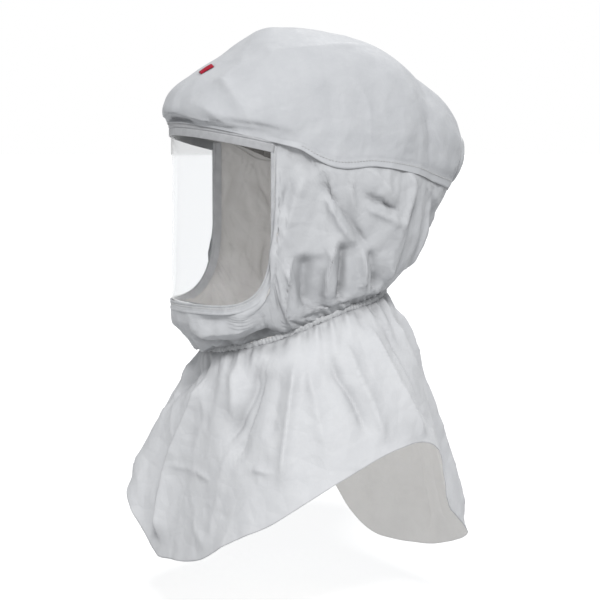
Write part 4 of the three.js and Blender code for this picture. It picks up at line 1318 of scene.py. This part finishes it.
def add_pad(name, path, up, half_wide, half_thick, ends, material):
    """A foam pad, crowned and rounded off: a soft section swept along its middle line. The higher
    ends is, the squarer its two ends are."""
    share = np.linspace(-1, 1, len(path))
    ends_in = (1 - np.abs(share) ** ends) ** (1 / ends)
    turns = np.linspace(0, 2 * math.pi, 33)[:-1]

    def section(k):
        wide = max(half_wide * ends_in[k], 0.3)
        thick = max(half_thick * ends_in[k] ** 0.6, 0.3)
        pucker = 1 - 0.03 * math.cos(9 * share[k])
        return [(wide * np.sign(math.cos(w)) * abs(math.cos(w)) ** 0.55,
                 thick * pucker * np.sign(math.sin(w)) * abs(math.sin(w)) ** 0.75) for w in turns]

    points, faces = swept(path, section, up)
    pad = mesh_object(name + "_foam", points, faces)
    finish_piece(pad, material, stands_for=(name,))


def eased(count):
    """Stations from -1 to 1, closer together towards both ends."""
    return np.sin(np.linspace(-math.pi / 2, math.pi / 2, count))


def band_arc(turn, radius, centre):
    """A path on an arc of the band, and the outward direction along it."""
    out = np.stack([np.cos(turn), np.sin(turn), 0 * turn], 1)
    return in_band(out * radius + (0, centre, 0)), in_band(out) - in_band([(0, 0, 0)])


def add_pads():
    turn = math.radians(270) + math.radians(60) * eased(61)
    path, up = band_arc(turn, BAND["r"] - 2.7, -BAND["centre"])
    add_pad("sweatband", path, up, half_wide=BAND["half"] + 1.6, half_thick=2.2, ends=6,
            material=SWEATBAND)

    turn = math.radians(90) + math.radians(16.4) * eased(41)
    path, up = band_arc(turn, RACKS - 8.4, BAND["centre"])
    add_pad("nape_pad", path, up, half_wide=14.2, half_thick=3.5, ends=4, material=FOAM)

    low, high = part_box("crown_pad")
    radius = 25.6
    along = eased(41) * radius
    middle = np.stack([along, along * 0 - 4, np.full(41, (low.z + high.z) / 2 / MM)], 1)
    add_pad("crown_pad", middle, np.tile((0, 0, 1.0), (41, 1)), half_wide=radius, half_thick=2.8,
            ends=2, material=FOAM)


add_pads()

# ---------------------------------------------------------------- air inlet

# Radii, and heights along the port's axis from its centre.
SOCKET = {"bore": 18.0, "wall": 22.0, "flange": 28.5, "inside": -24.0, "outside": 9.0,
          "flange_faces": (-3.9, -1.9), "key_faces": (6.8, 8.4)}


def add_inlet():
    """The moulded tube for a breathing tube's end, with the clamp ring that holds it in the cloth."""
    bore, wall, flange = SOCKET["bore"], SOCKET["wall"], SOCKET["flange"]
    inner, outer = SOCKET["inside"], SOCKET["outside"]
    sideways = np.array([1.0, 0, 0])

    (back, front), (key_low, key_high) = SOCKET["flange_faces"], SOCKET["key_faces"]
    outline = [(bore - 3, inner), (wall, inner), (wall, back), (flange, back), (flange, front),
               (wall, front), (wall, key_low), (wall + 0.01, key_low + 0.1),
               (wall + 0.01, key_high - 0.1), (wall, key_high), (wall, outer), (bore, outer),
               (bore, inner + 2), (bore - 3, inner + 2)]
    profile = rounded(outline, 0.5)
    key_rows = range(7 * 4, 10 * 4)  # the outline's corners 7 to 9, each rounded into four points

    def keys(turn, i):
        """Two small keys stand out from the tube's rim."""
        return 1.8 if i in key_rows and abs(math.sin(turn)) * wall < 4 else 0.0

    points, faces = lathe(profile, PORT_CENTRE, PORT_AXIS, sideways, sides=192, ripple=keys)
    tube = mesh_object("inlet_tube", points, faces)
    finish_piece(tube, SHELL, stands_for=("inlet_socket",))

    low, high = 0.9, 6.4
    corners = [(wall + 0.3, low), (wall + 5.4, low), (wall + 5.4, high), (wall + 0.3, high)]
    lug = rounded(corners, 0.9, steps=4)
    outside = [k for k, (r, _) in enumerate(lug) if r > wall + 4.2]

    def grips(turn, i):
        """Two finger lugs, on a rim with a fine ripple."""
        if i not in outside:
            return 0.0
        across = abs(math.sin(turn)) * (wall + 6)
        return 2.6 * float(1 - smooth(across, 3.6, 5.2)) - 0.22 * (0.5 + 0.5 * math.cos(48 * turn))

    points, faces = lathe(lug, PORT_CENTRE, PORT_AXIS, PORT_UP, sides=288, ripple=grips)
    ring = mesh_object("clamp", points, faces)
    finish_piece(ring, SHELL, body="hose_clamp", stands_for=("clamp_ring",))


add_inlet()

# ---------------------------------------------------------------- hard parts

FINISHES = {
    SHELL: ("duct_upper_shell", "duct_lower_shell", "duct_end_cap", "left_tail", "right_tail"),
    WARM_GREY: ("front_band", "brow_bracket", "left_crown_strap", "right_crown_strap", "left_hanger",
                "right_hanger"),
    DARK: ("nozzle_grille", "ratchet_base", "ratchet_cover", "rear_hanger"),
    BLUE: ("shutter_plate", "airflow_tab", "size_knob"),
    SEAL: ("inlet_seal",),
    STEEL: ("cover_screw_1", "cover_screw_2", "cover_screw_3", "cover_screw_4", "ratchet_pinion"),
}
for material, names in FINISHES.items():
    for name in names:
        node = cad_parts[name]
        node.data.materials.clear()
        node.data.materials.append(material)
